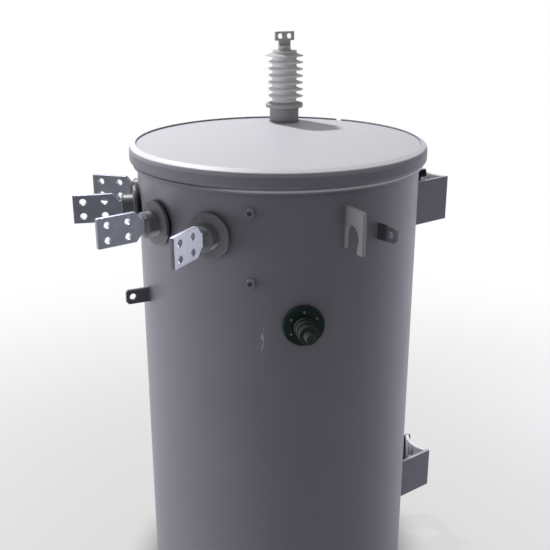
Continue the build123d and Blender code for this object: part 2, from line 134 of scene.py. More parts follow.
class TransformerSizes(bpy.types.PropertyGroup):
    """Sizes of the pieces that are made here, in metres."""

    tank_radius: length("Tank radius", 0.300, "Outside of the tank's wall")
    scuff_bearing: bearing("Scuff bearing", 59.1, "Bearing of the rubbed streak beside the tap changer")
    scuff_bottom: length("Scuff bottom", 0.691, "Lower end of the rubbed streak")
    scuff_height: length("Scuff height", 0.049, "Height of the rubbed streak")
    seat_gap: length("Seat gap", 0.0003, "Clearance between a fitting and the wall")
    rim_start: length("Rim start", 0.006, "Straight rim of a turned fitting, from its face towards the wall")
    edge: length("Edge round", 0.0008, "Rounding of cut plate edges")

    hv_bearing: bearing("High voltage bearing", 241.5, "Bearing of the bushing on the lid")
    hv_reach: length("High voltage reach", 0.252, "From the tank's axis to the bushing's axis")
    hv_core_radius: length("Insulator core radius", 0.029, "Core between the sheds")
    hv_shed_radius: length("Shed radius", 0.0446, "Outside of the sheds")
    hv_shed_count: IntProperty(name="Sheds", description="Number of sheds above the collar", default=7, min=1)
    hv_shed_pitch: length("Shed pitch", 0.0156, "Level difference from shed to shed")
    hv_shed_edge: length("Shed edge", 0.0015, "Thickness of a shed at its rim")
    hv_shed_rise: length("Shed rise", 0.006, "Thickness of a shed at the core")
    hv_collar_thickness: length("Collar thickness", 0.013, "Lowest and thickest ring of the insulator")
    hv_collar_round: length("Collar slope", 0.004, "Fall of the collar's top")
    hv_first_shed: length("First shed", 0.012, "From the collar to the first shed")
    hv_neck_width: length("Blade neck width", 0.030, "Narrow part of the T shaped blade")
    hv_neck_height: length("Blade neck height", 0.011, "Height of the blade's neck")
    hv_hole_radius: length("Blade hole radius", 0.006, "Two holes in the T shaped blade")
    hv_hole_spacing: length("Blade hole spacing", 0.023, "Between the centres of the two holes")

    lv_spacing: bearing("Low voltage spacing", 26.4, "Bearing from one bushing to the next")
    lv_height: length("Low voltage height", 0.921, "Height of the bushings' axes")
    lv_gasket: length("Bushing gasket", 0.005, "Thickness of a bushing's gasket")
    lv_flange_radius: length("Bushing flange radius", 0.045, "Outside of a bushing's flange")
    lv_flange_thickness: length("Bushing flange thickness", 0.007, "Flange at its edge")
    lv_stub_radius: length("Bushing stub radius", 0.026, "Round stub that carries the terminal")
    lv_stub_length: length("Bushing stub length", 0.021, "From the flange to the terminal's disc")
    lv_disc: length("Terminal disc", 0.004, "Thickness of the disc at the blade's root")
    lv_screw_radius: length("Disc screw radius", 0.0032, "Corner radius of a screw on the terminal's disc")
    lv_screw_height: length("Disc screw height", 0.003, "Head of a screw on the terminal's disc")
    lv_screw_side: length("Disc screw side", 0.0135, "Screw beside the blade, from the disc's axis")
    lv_screw_rise: length("Disc screw rise", 0.014, "Screw above or below the disc's axis")
    spade_length: length("Blade length", 0.100, "From the disc to the blade's end")
    spade_width: length("Blade width", 0.060, "Height of the upright blade")
    spade_thickness: length("Blade thickness", 0.010, "Thickness of the blade")
    spade_root_width: length("Blade root width", 0.028, "Blade where it meets the disc")
    spade_root_length: length("Blade root length", 0.004, "Straight part of the root")
    spade_chamfer: length("Blade chamfer", 0.014, "Length of the sloped shoulders")
    spade_hole_radius: length("Blade hole radius", 0.007, "Four holes in each blade")
    spade_hole_pitch: length("Blade hole pitch", 0.0444, "Holes along the blade")
    spade_hole_gauge: length("Blade hole gauge", 0.0304, "Holes across the blade")
    spade_end: length("Blade end distance", 0.0206, "From the outer holes to the blade's end")

    tab_length: length("Tab length", 0.050, "Earthing tab, outward")
    tab_width: length("Tab width", 0.031, "Earthing tab, upright")
    tab_thickness: length("Tab thickness", 0.008, "Earthing tab's plate")
    tab_corner: length("Tab corner", 0.005, "Corners of the tab's end")
    tab_hole_radius: length("Tab hole radius", 0.007, "Hole for the earthing bolt")
    tab_hole_end: length("Tab hole end distance", 0.014, "From the hole to the tab's end")

    lug_reach: length("Lug reach", 0.068, "Lifting lug, outward")
    lug_height: length("Lug height", 0.083, "Lifting lug, upright")
    lug_thickness: length("Lug thickness", 0.008, "Lifting lug's plate")
    lug_leg: length("Lug root leg", 0.004, "Leg along the wall below the seat")
    lug_seat_radius: length("Lug seat radius", 0.025, "Round seat of the sling")
    lug_seat_drop: length("Lug seat drop", 0.057, "From the lug's top to the seat's springing")
    lug_toe: length("Lug toe", 0.007, "How far the toe hooks in")
    lug_corner: length("Lug corner", 0.004, "Outer corners of the lug")

    tap_bearing: bearing("Tap changer bearing", 74.2, "Bearing of the tap changer")
    tap_height: length("Tap changer height", 0.747, "Height of the tap changer's axis")
    tap_flange_radius: length("Tap flange radius", 0.041, "Outside of the flange")
    tap_flange_thickness: length("Tap flange thickness", 0.009, "From the wall to the flange's face")
    tap_bolt_circle: length("Tap bolt circle", 0.0288, "Radius of the circle of six bolts")
    tap_bolt_radius: length("Tap bolt radius", 0.0022, "Corner radius of a bolt's head")
    tap_bolt_height: length("Tap bolt height", 0.0024, "Height of a bolt's head")
    tap_lip_width: length("Tap lip width", 0.0035, "Raised lip round the flange's face")
    tap_recess: length("Tap recess", 0.0008, "Depth of the flange's face below its lip")
    tap_chamfer: length("Tap chamfer", 0.001, "Chamfer of the flange's lip")
    tap_ring_radius: length("Tap ring radius", 0.021, "Largest of the three rings")
    tap_ring_step: length("Tap ring step", 0.001, "How much each ring is smaller than the last")
    tap_ring_width: length("Tap ring width", 0.009, "Width of the first ring")
    tap_ring_growth: length("Tap ring growth", 0.0035, "How much each ring is wider than the last")
    tap_groove_depth: length("Tap groove depth", 0.003, "Depth of the grooves between the rings")
    tap_groove_length: length("Tap groove length", 0.0035, "Length of the grooves between the rings")
    tap_tip_radius: length("Tap tip radius", 0.0115, "Tapered tip where it meets the rings")
    tap_tip_end_radius: length("Tap tip end radius", 0.009, "Tapered tip at its end")
    tap_tip_length: length("Tap tip length", 0.018, "Length of the tip")
    tap_tip_round: length("Tap tip round", 0.002, "Rounding of the tip's end")

    boss_bearing: bearing("Boss bearing", 55.0, "Bearing of the two bosses")
    boss_upper: length("Upper boss height", 0.969, "Height of the upper boss")
    boss_lower: length("Lower boss height", 0.831, "Height of the lower boss")
    boss_radius: length("Boss radius", 0.0096, "Outside of a boss")
    boss_length: length("Boss length", 0.008, "How far a boss stands out")
    boss_hole_radius: length("Boss hole radius", 0.0045, "Blind hole of a boss")
    boss_hole_depth: length("Boss hole depth", 0.006, "Depth of the blind hole")

    plug_bearing: bearing("Plug bearing", 167.0, "Bearing of the dark plug under the band")
    plug_height: length("Plug height", 0.9625, "Level of the plug's axis")
    plug_radius: length("Plug radius", 0.0085, "Head of the plug")
    plug_length: length("Plug length", 0.0385, "How far the plug stands out of the wall")
    plug_head: length("Plug head", 0.020, "Length of the plug's head")
    plug_step: length("Plug step", 0.0015, "Step from the plug's head to its neck")
    band_inside: length("Band inside", 0.3014, "Radius of the dark cut edge of the clamp band's lip")
    clamp_bearing: bearing("Clamp bearing", 213.2, "Bearing of the clamp band's split")
    band_outside: length("Band outside", 0.3156, "Radius of the clamp band's upright face")
    ear_reach: length("Ear reach", 0.032, "How far a clamp ear stands out of the band")
    ear_thickness: length("Ear thickness", 0.005, "A clamp ear's plate")
    ear_half_gap: length("Ear half gap", 0.0075, "From the split's middle to an ear")
    clamp_thread: length("Clamp thread", 0.006, "Outside radius of the clamp bolt's thread")
    clamp_pitch: length("Clamp thread pitch", 0.00175, "Pitch of the clamp bolt's thread")
    clamp_end: length("Clamp bolt end", 0.0095, "Bolt past the ear at its plain end")
    clamp_run_in: length("Clamp run in", 0.0005, "Plain end before the thread")
    clamp_turns: IntProperty(
        name="Clamp turns", description="Turns of the clamp bolt's thread", default=26, min=1
    )
    clamp_hex: length("Clamp hexagon", 0.019, "Hexagons at both ends across their flats")
    clamp_head: length("Clamp head", 0.008, "Height of the hexagons at both ends")
    hanger_half_width: length("Hanger half width", 0.048, "Outside of a hanger plate at the saddle")
    hanger_sheet: length("Hanger sheet", 0.008, "Thickness of a hanger plate")
    hanger_splay: bearing("Hanger splay", 12.0, "How far the hanger plates splay towards the tank")
    seam_height: length("Seam height", 0.006, "Level of the weld at the tank's bottom")
    seam_size: length("Seam size", 0.0022, "Radius of the weld at the tank's bottom")
    seam_ripple: length("Seam ripple", 0.006, "Ripples of the weld at the tank's bottom")
    weld_leg: length("Weld size", 0.0026, "Radius of a weld bead")
    weld_step: length("Weld ripple", 0.0042, "Distance from ripple to ripple")


class TransformerStudio(bpy.types.PropertyGroup):
    """Floor, lights and camera."""

    view_bearing: bearing("View bearing", 65.0, "Bearing that the camera looks from")
    camera_place: FloatVectorProperty(
        name="Camera place", description="Camera in metres", default=(1.6620, -0.7823, 1.3893), subtype="XYZ"
    )
    camera_aim: FloatVectorProperty(
        name="Camera aim",
        description="Direction of view",
        default=(-0.85517, 0.39877, -0.33118),
        subtype="XYZ",
    )
    lens: FloatProperty(
        name="Lens", description="Focal length on a 36 mm sensor", default=56.586, unit="CAMERA"
    )
    key_power: watts("Key lamp", 112.0, "High lamp behind on the left")
    key_place: offset("Key lamp place", (-1.24, 1.68, 3.67))
    left_power: watts("Left lamp", 30.0, "Tall lamp on the left")
    left_place: offset("Left lamp place", (-2.2, -0.36, 0.50))
    right_power: watts("Right lamp", 16.5, "Lamp behind on the right")
    right_place: offset("Right lamp place", (1.35, 0.85, 0.55))
    right_tint: colour("Right lamp tint", (0.75, 0.765, 1.0), "Cool light of the right lamp")
    blade_power: watts("Blade lamp", 14.0, "Fill on the low voltage blades")
    blade_place: offset("Blade lamp place", (1.58, 0.24, 0.85))
    blade_tint: colour("Blade lamp tint", (0.97, 0.98, 1.0), "Nearly neutral light of the blade lamp")
    front_level: light_level("Front level", 0.34, "Light from the camera's side")
    behind_level: light_level("Behind level", 0.50, "Light from the backdrop")
    overhead_level: light_level("Overhead level", 0.06, "Light added from above")
    mirror_level: light_level("Mirror level", 0.12, "What gloss mirrors on the camera's side")
    mirror_right: light_level("Mirror right", 0.35, "What gloss mirrors behind on the right")
    floor_radius: length("Floor radius", 60.0, "Round floor")


class Wire:
    """A socket of a finish. Arithmetic on it adds Math nodes to the finish."""

    def __init__(self, finish, socket):
        self.finish = finish
        self.socket = socket

    def maths(self, operation, *values):
        return self.finish.node("ShaderNodeMath", {"operation": operation}, dict(enumerate(values)))

    def __add__(self, other):
        return self.maths("ADD", self, other)

    __radd__ = __add__

    def __sub__(self, other):
        return self.maths("SUBTRACT", self, other)

    def __rsub__(self, other):
        return self.maths("SUBTRACT", other, self)

    def __mul__(self, other):
        return self.maths("MULTIPLY", self, other)

    __rmul__ = __mul__

    def __truediv__(self, other):
        return self.maths("DIVIDE", self, other)

    def __rtruediv__(self, other):
        return self.maths("DIVIDE", other, self)

    def __abs__(self):
        return self.maths("ABSOLUTE", self)

    def capped(self):
        """The value held between 0 and 1."""
        return self.finish.node("ShaderNodeClamp", None, {"Value": self})

    def eased(self, low, high):
        """0 below low, 1 above high and a smooth ramp between them."""
        settings = {"interpolation_type": "SMOOTHSTEP"}
        return self.finish.node(
            "ShaderNodeMapRange", settings, {"Value": self, "From Min": low, "From Max": high}
        )


class Finish:
    """The node tree of one finish, of the world or of the floor."""

    def __init__(self, tree):
        self.tree = tree
        self.tree.nodes.clear()

    def node(self, kind, settings=None, sockets=None, output=0):
        """Add a node, set its settings, then fill its sockets with values or wires, and wrap one output."""
        added = self.tree.nodes.new(kind)
        for name, value in (settings or {}).items():
            setattr(added, name, value)
        for key, value in (sockets or {}).items():
            if isinstance(value, Wire):
                self.tree.links.new(value.socket, added.inputs[key])
            else:
                added.inputs[key].default_value = value
        if not added.outputs:
            return None
        return Wire(self, added.outputs[output])

    def blend(self, factor, first, second):
        """Mix two colours."""
        settings = {"data_type": "RGBA"}
        return self.node("ShaderNodeMix", settings, {0: factor, 6: first, 7: second}, output=2)

    def noise(self, place, scale, detail=3.0, roughness=0.5):
        """Fractal noise, about 0.5 on average."""
        sockets = {"Vector": place, "Scale": scale, "Detail": detail, "Roughness": roughness}
        return self.node("ShaderNodeTexNoise", None, sockets)

    def dot(self, vector, direction):
        """How far a vector goes along a direction."""
        settings = {"operation": "DOT_PRODUCT"}
        return self.node("ShaderNodeVectorMath", settings, {0: vector, 1: direction}, output="Value")

    def stretched(self, place, scale):
        """Coordinates scaled on each axis, so that a noise is drawn out."""
        return self.node("ShaderNodeMapping", None, {"Vector": place, "Scale": scale})

    def rounded(self, radius):
        """The way the surface faces, rounded at hard edges."""
        return self.node("ShaderNodeBevel", {"samples": 4}, {"Radius": radius})

    def facing(self):
        """Which way the surface faces."""
        return self.node("ShaderNodeNewGeometry", output="Normal")

    def openness(self, distance, samples=8):
        """1 in the open, less in corners and next to other pieces."""
        settings = {"samples": samples}
        return self.node("ShaderNodeAmbientOcclusion", settings, {"Distance": distance}, output="AO")

    def reach(self, place):
        """Distance of a place from the tank's axis."""
        level = self.stretched(place, (1.0, 1.0, 0.0))
        return self.node("ShaderNodeVectorMath", {"operation": "LENGTH"}, {0: level}, output="Value")

    def surface(self, **sockets):
        """The Principled shader and the output. Underscores stand for spaces."""
        named = {key.replace("_", " "): value for key, value in sockets.items()}
        shader = self.node("ShaderNodeBsdfPrincipled", None, named)
        self.node("ShaderNodeOutputMaterial", None, {"Surface": shader})


def new_finish(name):
    """A new material's finish, and the places on the pieces that wear it."""
    material = bpy.data.materials.new(name)
    material.use_nodes = True
    finish = Finish(material.node_tree)
    return finish, finish.node("ShaderNodeTexCoord", output="Object")


def rgba(value, gain=1.0):
    """A colour property as a socket's value, made lighter or darker."""
    return tuple(min(1.0, part * gain) for part in value) + (1.0,)


def edges_of(finish, radius, low, high):
    """A mask of hard edges and a normal that is rounded at them."""
    rounded = finish.rounded(radius)
    mask = (1 - finish.dot(rounded, finish.facing())).eased(low, high)
    return mask, rounded


def bumped(finish, height, distance, strength, normal):
    """A normal with fine relief."""
    sockets = {"Height": height, "Distance": distance, "Strength": strength, "Normal": normal}
    return finish.node("ShaderNodeBump", None, sockets)


def outward(angle):
    """Unit vector away from the tank's axis at a bearing."""
    return Vector((math.sin(angle), -math.cos(angle), 0.0))


def sideways(angle):
    """Unit vector along the tank's wall, towards a larger bearing."""
    return Vector((math.cos(angle), math.sin(angle), 0.0))


def axes(x_axis, y_axis, z_axis, origin):
    """A matrix from three axes and an origin."""
    matrix = Matrix((x_axis, y_axis, z_axis)).transposed().to_4x4()
    matrix.translation = origin
    return matrix


def wall_axes(angle, reach, height):
    """Axes of a turned fitting on the wall: x along the wall, y up, z outward."""
    return axes(sideways(angle), UP, outward(angle), outward(angle) * reach + UP * height)


def plate_axes(angle, reach, height):
    """Axes of an upright plate on the wall: x outward, y up, z along the wall."""
    return axes(outward(angle), UP, -sideways(angle), outward(angle) * reach + UP * height)


def rounded_corner(before, corner, after, radius, steps):
    """Points of an arc that replaces a corner."""
    corner = Vector(corner)
    to_before = Vector(before) - corner
    to_after = Vector(after) - corner
    turn = to_before.angle(to_after)
    if radius <= 0 or turn > math.radians(175):
        return [tuple(corner)]
    run = radius / math.tan(turn / 2)
    run = min(run, 0.49 * to_before.length, 0.49 * to_after.length)
    radius = run * math.tan(turn / 2)
    start = corner + to_before.normalized() * run
    middle = (to_before.normalized() + to_after.normalized()).normalized()
    centre = corner + middle * (radius / math.sin(turn / 2))
    from_centre = start - centre
    sweep = math.pi - turn
    side = 1.0 if to_before.x * to_after.y - to_before.y * to_after.x < 0 else -1.0
    points = []
    for step in range(steps + 1):
        angle = side * sweep * step / steps
        turned = Vector(
            (
                from_centre.x * math.cos(angle) - from_centre.y * math.sin(angle),
                from_centre.x * math.sin(angle) + from_centre.y * math.cos(angle),
            )
        )
        points.append(tuple(centre + turned))
    return points


def rounded_path(points, radii, closed, steps=3):
    """A path with its corners rounded. The radii are one number or one for each point."""
    if not isinstance(radii, (list, tuple)):
        radii = [radii] * len(points)
    path = []
    last = len(points) - 1
    for index, point in enumerate(points):
        if not closed and index in (0, last):
            path.append(tuple(point))
            continue
        before = points[index - 1]
        after = points[(index + 1) % len(points)]
        path += rounded_corner(before, point, after, radii[index], steps)
    return path


def circle(x, y, radius, count=32):
    """Points of a circle."""
    turns = [2 * math.pi * index / count for index in range(count)]
    return [(x + radius * math.cos(turn), y + radius * math.sin(turn)) for turn in turns]


def inset(loop, distance):
    """A closed loop moved inward, for a loop that runs anticlockwise."""
    moved = []
    for index, point in enumerate(loop):
        here = Vector(point)
        back = (here - Vector(loop[index - 1])).normalized()
        on = (Vector(loop[(index + 1) % len(loop)]) - here).normalized()
        normal = Vector((-back.y - on.y, back.x + on.x)).normalized()
        stretch = max(0.3, normal.dot(Vector((-back.y, back.x))))
        moved.append(tuple(here + normal * (distance / stretch)))
    return moved


def mesh_piece(name, mesh, finish, slot, nodes=()):
    """Show a mesh with a finish as a piece of the transformer, in place of the nodes that it stands for."""
    mesh.name = name
    piece = bpy.data.objects.new(name, mesh)
    bpy.context.scene.collection.objects.link(piece)
    mesh.materials.append(finish_of(finish))
    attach(piece, "root")
    if nodes:
        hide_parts(*nodes)


def closed_mesh(form, crease=35.0):
    """A mesh from a bmesh, smooth but for its creases."""
    bmesh.ops.remove_doubles(form, verts=form.verts, dist=1e-6)
    bmesh.ops.recalc_face_normals(form, faces=form.faces)
    mesh = bpy.data.meshes.new("form")
    form.to_mesh(mesh)
    form.free()
    mesh.polygons.foreach_set("use_smooth", [True] * len(mesh.polygons))
    mesh.set_sharp_from_angle(angle=math.radians(crease))
    return mesh


def add_turned(form, profile, matrix, count, cope=None):
    """Turn a profile of (radius, level) points about z. A cope bends the first ring to the tank's wall."""
    rings = []
    for index, (radius, level) in enumerate(profile):
        if radius < 1e-6:
            rings.append([form.verts.new(matrix @ Vector((0.0, 0.0, level)))])
            continue
        ring = []
        for x, y in circle(0.0, 0.0, radius, count):
            height = level
            if cope and index == 0:
                height = math.sqrt(cope[0] ** 2 - x**2) - cope[1]
            ring.append(form.verts.new(matrix @ Vector((x, y, height))))
        rings.append(ring)
    for lower, upper in zip(rings, rings[1:]):
        for index in range(count):
            after = (index + 1) % count
            if len(lower) == 1:
                form.faces.new((lower[0], upper[index], upper[after]))
            elif len(upper) == 1:
                form.faces.new((lower[index], lower[after], upper[0]))
            else:
                form.faces.new((lower[index], lower[after], upper[after], upper[index]))
    if cope:
        form.faces.new(list(reversed(rings[0])))


def add_plate(form, outline, holes, thickness, edge, matrix):
    """A flat plate with holes, its cut edges rounded. The outline runs anticlockwise."""
    rows = [(edge * 1.5, thickness / 2)]
    for turn in (0.0, math.pi / 4, math.pi / 2):
        rows.append((edge * (1 - math.sin(turn)), thickness / 2 - edge * (1 - math.cos(turn))))
    levels = rows + [(shift, -level) for shift, level in reversed(rows)]
    flats = {0: [], len(levels) - 1: []}
    for loop, way in [(outline, 1.0)] + [(hole, -1.0) for hole in holes]:
        rings = []
        for shift, level in levels:
            moved = inset(loop, way * shift) if shift > 1e-9 else loop
            rings.append([form.verts.new(matrix @ Vector((x, y, level))) for x, y in moved])
        for index in flats:
            ring = rings[index]
            flats[index] += [form.edges.new((ring[i - 1], ring[i])) for i in range(len(ring))]
        for lower, upper in zip(rings, rings[1:]):
            for i in range(len(loop)):
                form.faces.new((lower[i - 1], lower[i], upper[i], upper[i - 1]))
    for edges in flats.values():
        bmesh.ops.triangle_fill(form, use_beauty=True, use_dissolve=False, edges=edges)


def add_hex_head(form, radius, height, matrix):
    """A bolt's hexagon head with turned corners, on a thin round flange."""
    flange = radius * 1.25
    step = height * 0.18
    add_turned(form, [(0, 0), (flange, 0), (flange, step), (0, step)], matrix, 24)
    rings = []
    for scale, level in ((1.0, 0.0), (1.0, 0.82), (0.86, 1.0)):
        corners = circle(0, 0, radius * scale, 6)
        rings.append([form.verts.new(matrix @ Vector((x, y, height * level))) for x, y in corners])
    for lower, upper in zip(rings, rings[1:]):
        for i in range(6):
            form.faces.new((lower[i - 1], lower[i], upper[i], upper[i - 1]))
    form.faces.new(rings[-1])
    form.faces.new(list(reversed(rings[0])))


def add_weld(form, points, radius, ripple, closed=False):
    """A rippled weld bead along a path of points, with tapered ends on an open path."""
    path = [Vector(point) for point in points]
    if closed:
        path.append(path[0].copy())
    stations = []
    travelled = 0.0
    step = ripple / 3
    for start, end in zip(path, path[1:]):
        run = (end - start).length
        count = max(1, round(run / step))
        stations += [(start.lerp(end, i / count), travelled + run * i / count) for i in range(count)]
        travelled += run
    if not closed:
        stations.append((path[-1], travelled))
    rings = []
    total = len(stations)
    for index, (place, at) in enumerate(stations):
        before = stations[index - 1][0] if closed or index else place
        after = stations[(index + 1) % total][0] if closed or index < total - 1 else place
        along = (after - before).normalized()
        reference = UP if abs(along.z) < 0.9 else Vector((1.0, 0.0, 0.0))
        across = along.cross(reference).normalized()
        raised = across.cross(along)
        size = radius * (1 + 0.10 * math.sin(2 * math.pi * at / ripple) + 0.05 * math.sin(at / ripple * 1.7))
        if not closed:
            size *= min(1.0, 0.35 + (min(at, travelled - at) / radius) * 0.5)
        ring = []
        for turn in range(8):
            angle = 2 * math.pi * turn / 8
            ring.append(form.verts.new(place + (across * math.cos(angle) + raised * math.sin(angle)) * size))
        rings.append(ring)
    pairs = list(zip(rings, rings[1:]))
    if closed:
        pairs.append((rings[-1], rings[0]))
    for lower, upper in pairs:
        for i in range(8):
            form.faces.new((lower[i - 1], lower[i], upper[i], upper[i - 1]))
    if not closed:
        form.faces.new(rings[0])
        form.faces.new(list(reversed(rings[-1])))


def on_wall(radius, angle, along, height, stand=0.0):
    """A point on the tank's wall, at a distance along the wall from a bearing."""
    depth = math.sqrt(radius**2 - along**2) + stand
    return outward(angle) * depth + sideways(angle) * along + UP * height


def paint(finish, *nodes):
    """Give CAD nodes a finish."""
    for node in nodes:
        mesh = cad_nodes[node].data
        mesh.materials.clear()
        mesh.materials.append(finish_of(finish))


def soften(node, radius):
    """Round the hard edges of a CAD node with modifiers."""
    piece = cad_nodes[node]
    weld = piece.modifiers.new("Join facets", "WELD")
    weld.merge_threshold = 1e-5
    bevel = piece.modifiers.new("Edge round", "BEVEL")
    bevel.width = radius
    bevel.segments = 2
    bevel.limit_method = "ANGLE"
    bevel.angle_limit = math.radians(40)
    bevel.harden_normals = True


def finish_of(name):
    """A finish that an earlier operator has made."""
    material = bpy.data.materials.get(name)
    if material is None:
        raise RuntimeError(f"make the finishes first: {name} isn't there")
    return material


def sprayed(finish, place, base):
    """The ground of a sprayed enamel: its soft patches, its fine speckle and its tone."""
    patches = finish.noise(place, 5.0, 4.0, 0.55).eased(0.25, 0.75)
    runs = finish.noise(finish.stretched(place, (22.0, 22.0, 1.6)), 1.0, 3.0).eased(0.3, 0.8)
    tone = finish.blend(patches * 0.7 + runs * 0.3, rgba(base, 0.955), rgba(base, 1.045))
    return patches, finish.noise(place, 420.0, 2.0), tone


def soiled_and_shaded(finish, tone, base, distance):
    """Darker corners of an enamel, painted shade together with real staining: its mask and the tone with it.
    """
    grime_and_shade = (1 - finish.openness(distance, 4)).eased(0.35, 0.95) * 0.35
    return grime_and_shade, finish.blend(grime_and_shade, tone, rgba(base, 0.45))


def orange_peel(finish, place):
    """Height of a sprayed surface."""
    return finish.noise(place, 260.0, 2.0) + 0.35 * finish.noise(place, 55.0, 2.0)


def enamel(
    name, base, painted_top_light, scuffed, gloss, painted_top_light_range=(0.40, 0.84), painted_light_within=None, painted_light_side=None, rounding=0.0016
):
    """Sprayed enamel: soft patches, a paler colour where it faces up that is painted top light, darker and
    rougher corners that are painted shade with real staining, scuffed edges, orange peel.

    The painted light side is a direction and the two levels along it between which the painted top light sets
    in.
    Painted light within is a radius from the tank's axis, the softness of its edge and the gain of the tone
    there:
    a gain above 1 paints light and a gain below 1 paints shade.
    """
    finish, place = new_finish(name)
    patches, speckle, tone = sprayed(finish, place, base)
    edge, rounded = edges_of(finish, rounding, 0.03, 0.22)
    # Painted top light: faces turned up get the paler colour.
    painted_top_light_mask = finish.dot(rounded, UP).eased(*painted_top_light_range)
    # Painted light on one side of the tank: the paler top only past a level along the given direction.
    if painted_light_side:
        painted_top_light_mask = painted_top_light_mask * finish.dot(place, painted_light_side[0]).eased(*painted_light_side[1:])
    tone = finish.blend(painted_top_light_mask * (0.88 + 0.12 * patches), tone, rgba(painted_top_light))
    # Painted shade with real staining: darker and rougher in corners.
    grime_and_shade, tone = soiled_and_shaded(finish, tone, base, 0.012)
    chipped = finish.noise(place, 95.0, 4.0, 0.6).eased(0.46, 0.62)
    rubbed = edge * chipped * 0.30
    tone = finish.blend(rubbed, tone, rgba(scuffed))
    # Painted light within a radius: the tone there is scaled by a gain, lighter above 1 and darker below 1.
    if painted_light_within:
        radius, softness, shade = painted_light_within
        within = 1 - finish.reach(place).eased(radius - softness, radius + softness)
        tone = finish.blend(within, tone, rgba(base, shade))
    roughness = gloss + 0.10 * patches + 0.06 * speckle + 0.12 * grime_and_shade - 0.05 * rubbed
    peel = orange_peel(finish, place)
    relief = bumped(finish, peel, 0.00012, 0.35, rounded)
    finish.surface(Base_Color=tone, Roughness=roughness, Normal=relief, Specular_IOR_Level=0.32)


def tank_enamel(colours, sizes):
    """The tank wall's enamel: as on the fittings, with one rubbed streak beside the tap changer."""
    finish, place = new_finish("tank_wall_enamel")
    base = colours.tank
    patches, speckle, tone = sprayed(finish, place, base)
    # Painted shade with real staining: darker and rougher in corners.
    grime_and_shade, tone = soiled_and_shaded(finish, tone, base, 0.016)
    rise = (finish.dot(place, UP) - sizes.scuff_bottom) / sizes.scuff_height
    bend = 0.0046 * rise.eased(0.0, 0.40) - 0.0030 * rise.eased(0.45, 0.62) + 0.0030 * rise.eased(0.62, 1.0)
    wander = finish.noise(place, 140.0, 3.0, 0.6) - 0.5
    across = finish.dot(place, sideways(sizes.scuff_bearing)) + 0.0025 - bend + 0.0016 * wander
    outer_side = finish.dot(place, outward(sizes.scuff_bearing)).eased(0.0, 0.1)
    upper_mark = 1 - abs(rise - 0.62).eased(0.02, 0.22)
    lower_mark = 1 - abs(rise - 0.22).eased(0.02, 0.24)
    half_width = 0.0008 + 0.0026 * upper_mark + 0.0017 * lower_mark
    streak = (1 - (abs(across) / half_width).eased(0.25, 1.15)) * outer_side
    streak = streak * (1 - abs(rise - 0.5).eased(0.44, 0.54))
    streak = streak * (0.55 + 0.45 * upper_mark) * (0.7 + 0.3 * finish.noise(place, 260.0, 3.0, 0.7))
    tone = finish.blend(streak, tone, rgba(colours.scuff))
    edge, rounded = edges_of(finish, 0.0016, 0.03, 0.22)
    chipped = finish.noise(place, 95.0, 4.0, 0.6).eased(0.46, 0.62)
    tone = finish.blend(edge * chipped * 0.30, tone, rgba(colours.scuff))
    roughness = 0.33 + 0.08 * patches + 0.05 * speckle + 0.12 * grime_and_shade + 0.15 * streak
    peel = orange_peel(finish, place) - 0.8 * streak
    relief = bumped(finish, peel, 0.00012, 0.35, rounded)
    finish.surface(Base_Color=tone, Roughness=roughness, Normal=relief, Specular_IOR_Level=0.42)


def porcelain(name, glaze, collar_top=0.0, crown=0.0):
    """Glazed porcelain: even, but darker where thin; painted shade under the sheds, on its collar, on its
    crown and, with real staining, in its corners.
    """
    finish, place = new_finish(name)
    cloud = finish.noise(place, 38.0, 4.0, 0.55).eased(0.25, 0.75)
    specks = finish.noise(place, 900.0, 2.0).eased(0.66, 0.74)
    tone = finish.blend(cloud, rgba(glaze, 0.94), rgba(glaze, 1.05))
    edge, rounded = edges_of(finish, 0.0012, 0.03, 0.30)
    tone = finish.blend(edge * 0.30, tone, rgba(glaze, 0.70))
    # Painted shade with real staining: darker and rougher in corners, such as on the core between the sheds.
    corners = finish.openness(0.018)
    dirt_and_shade = (1 - corners).eased(0.25, 0.80) * 0.40
    tone = finish.blend(dirt_and_shade, tone, rgba(glaze, 0.50))
    tone = finish.blend(specks * 0.25, tone, rgba(glaze, 0.55))
    facing = finish.facing()
    # Painted shade: faces turned down are darker.
    under = finish.dot(facing, -UP).eased(-0.15, 0.50)
    tone = finish.blend(under * 0.75, tone, rgba(glaze, 0.50))
    # Painted shade: the collar under the first shed is darker.
    if collar_top:
        collar = 1 - finish.dot(place, UP).eased(collar_top - 0.001, collar_top + 0.001)
        tone = finish.blend(collar, tone, rgba(glaze, 0.46))
    # Painted shade: the faces turned up on the top shed are darker.
    if crown:
        top = finish.dot(place, UP).eased(crown - 0.003, crown + 0.003)
        painted_crown_shade = top * finish.dot(facing, UP).eased(-0.2, 0.4)
        tone = finish.blend(painted_crown_shade, tone, rgba(glaze, 0.46))
    roughness = 0.42 + 0.12 * cloud + 0.20 * dirt_and_shade
    relief = bumped(finish, finish.noise(place, 130.0, 3.0), 0.00015, 0.25, rounded)
    finish.surface(Base_Color=tone, Roughness=roughness, Normal=relief, Specular_IOR_Level=0.22)


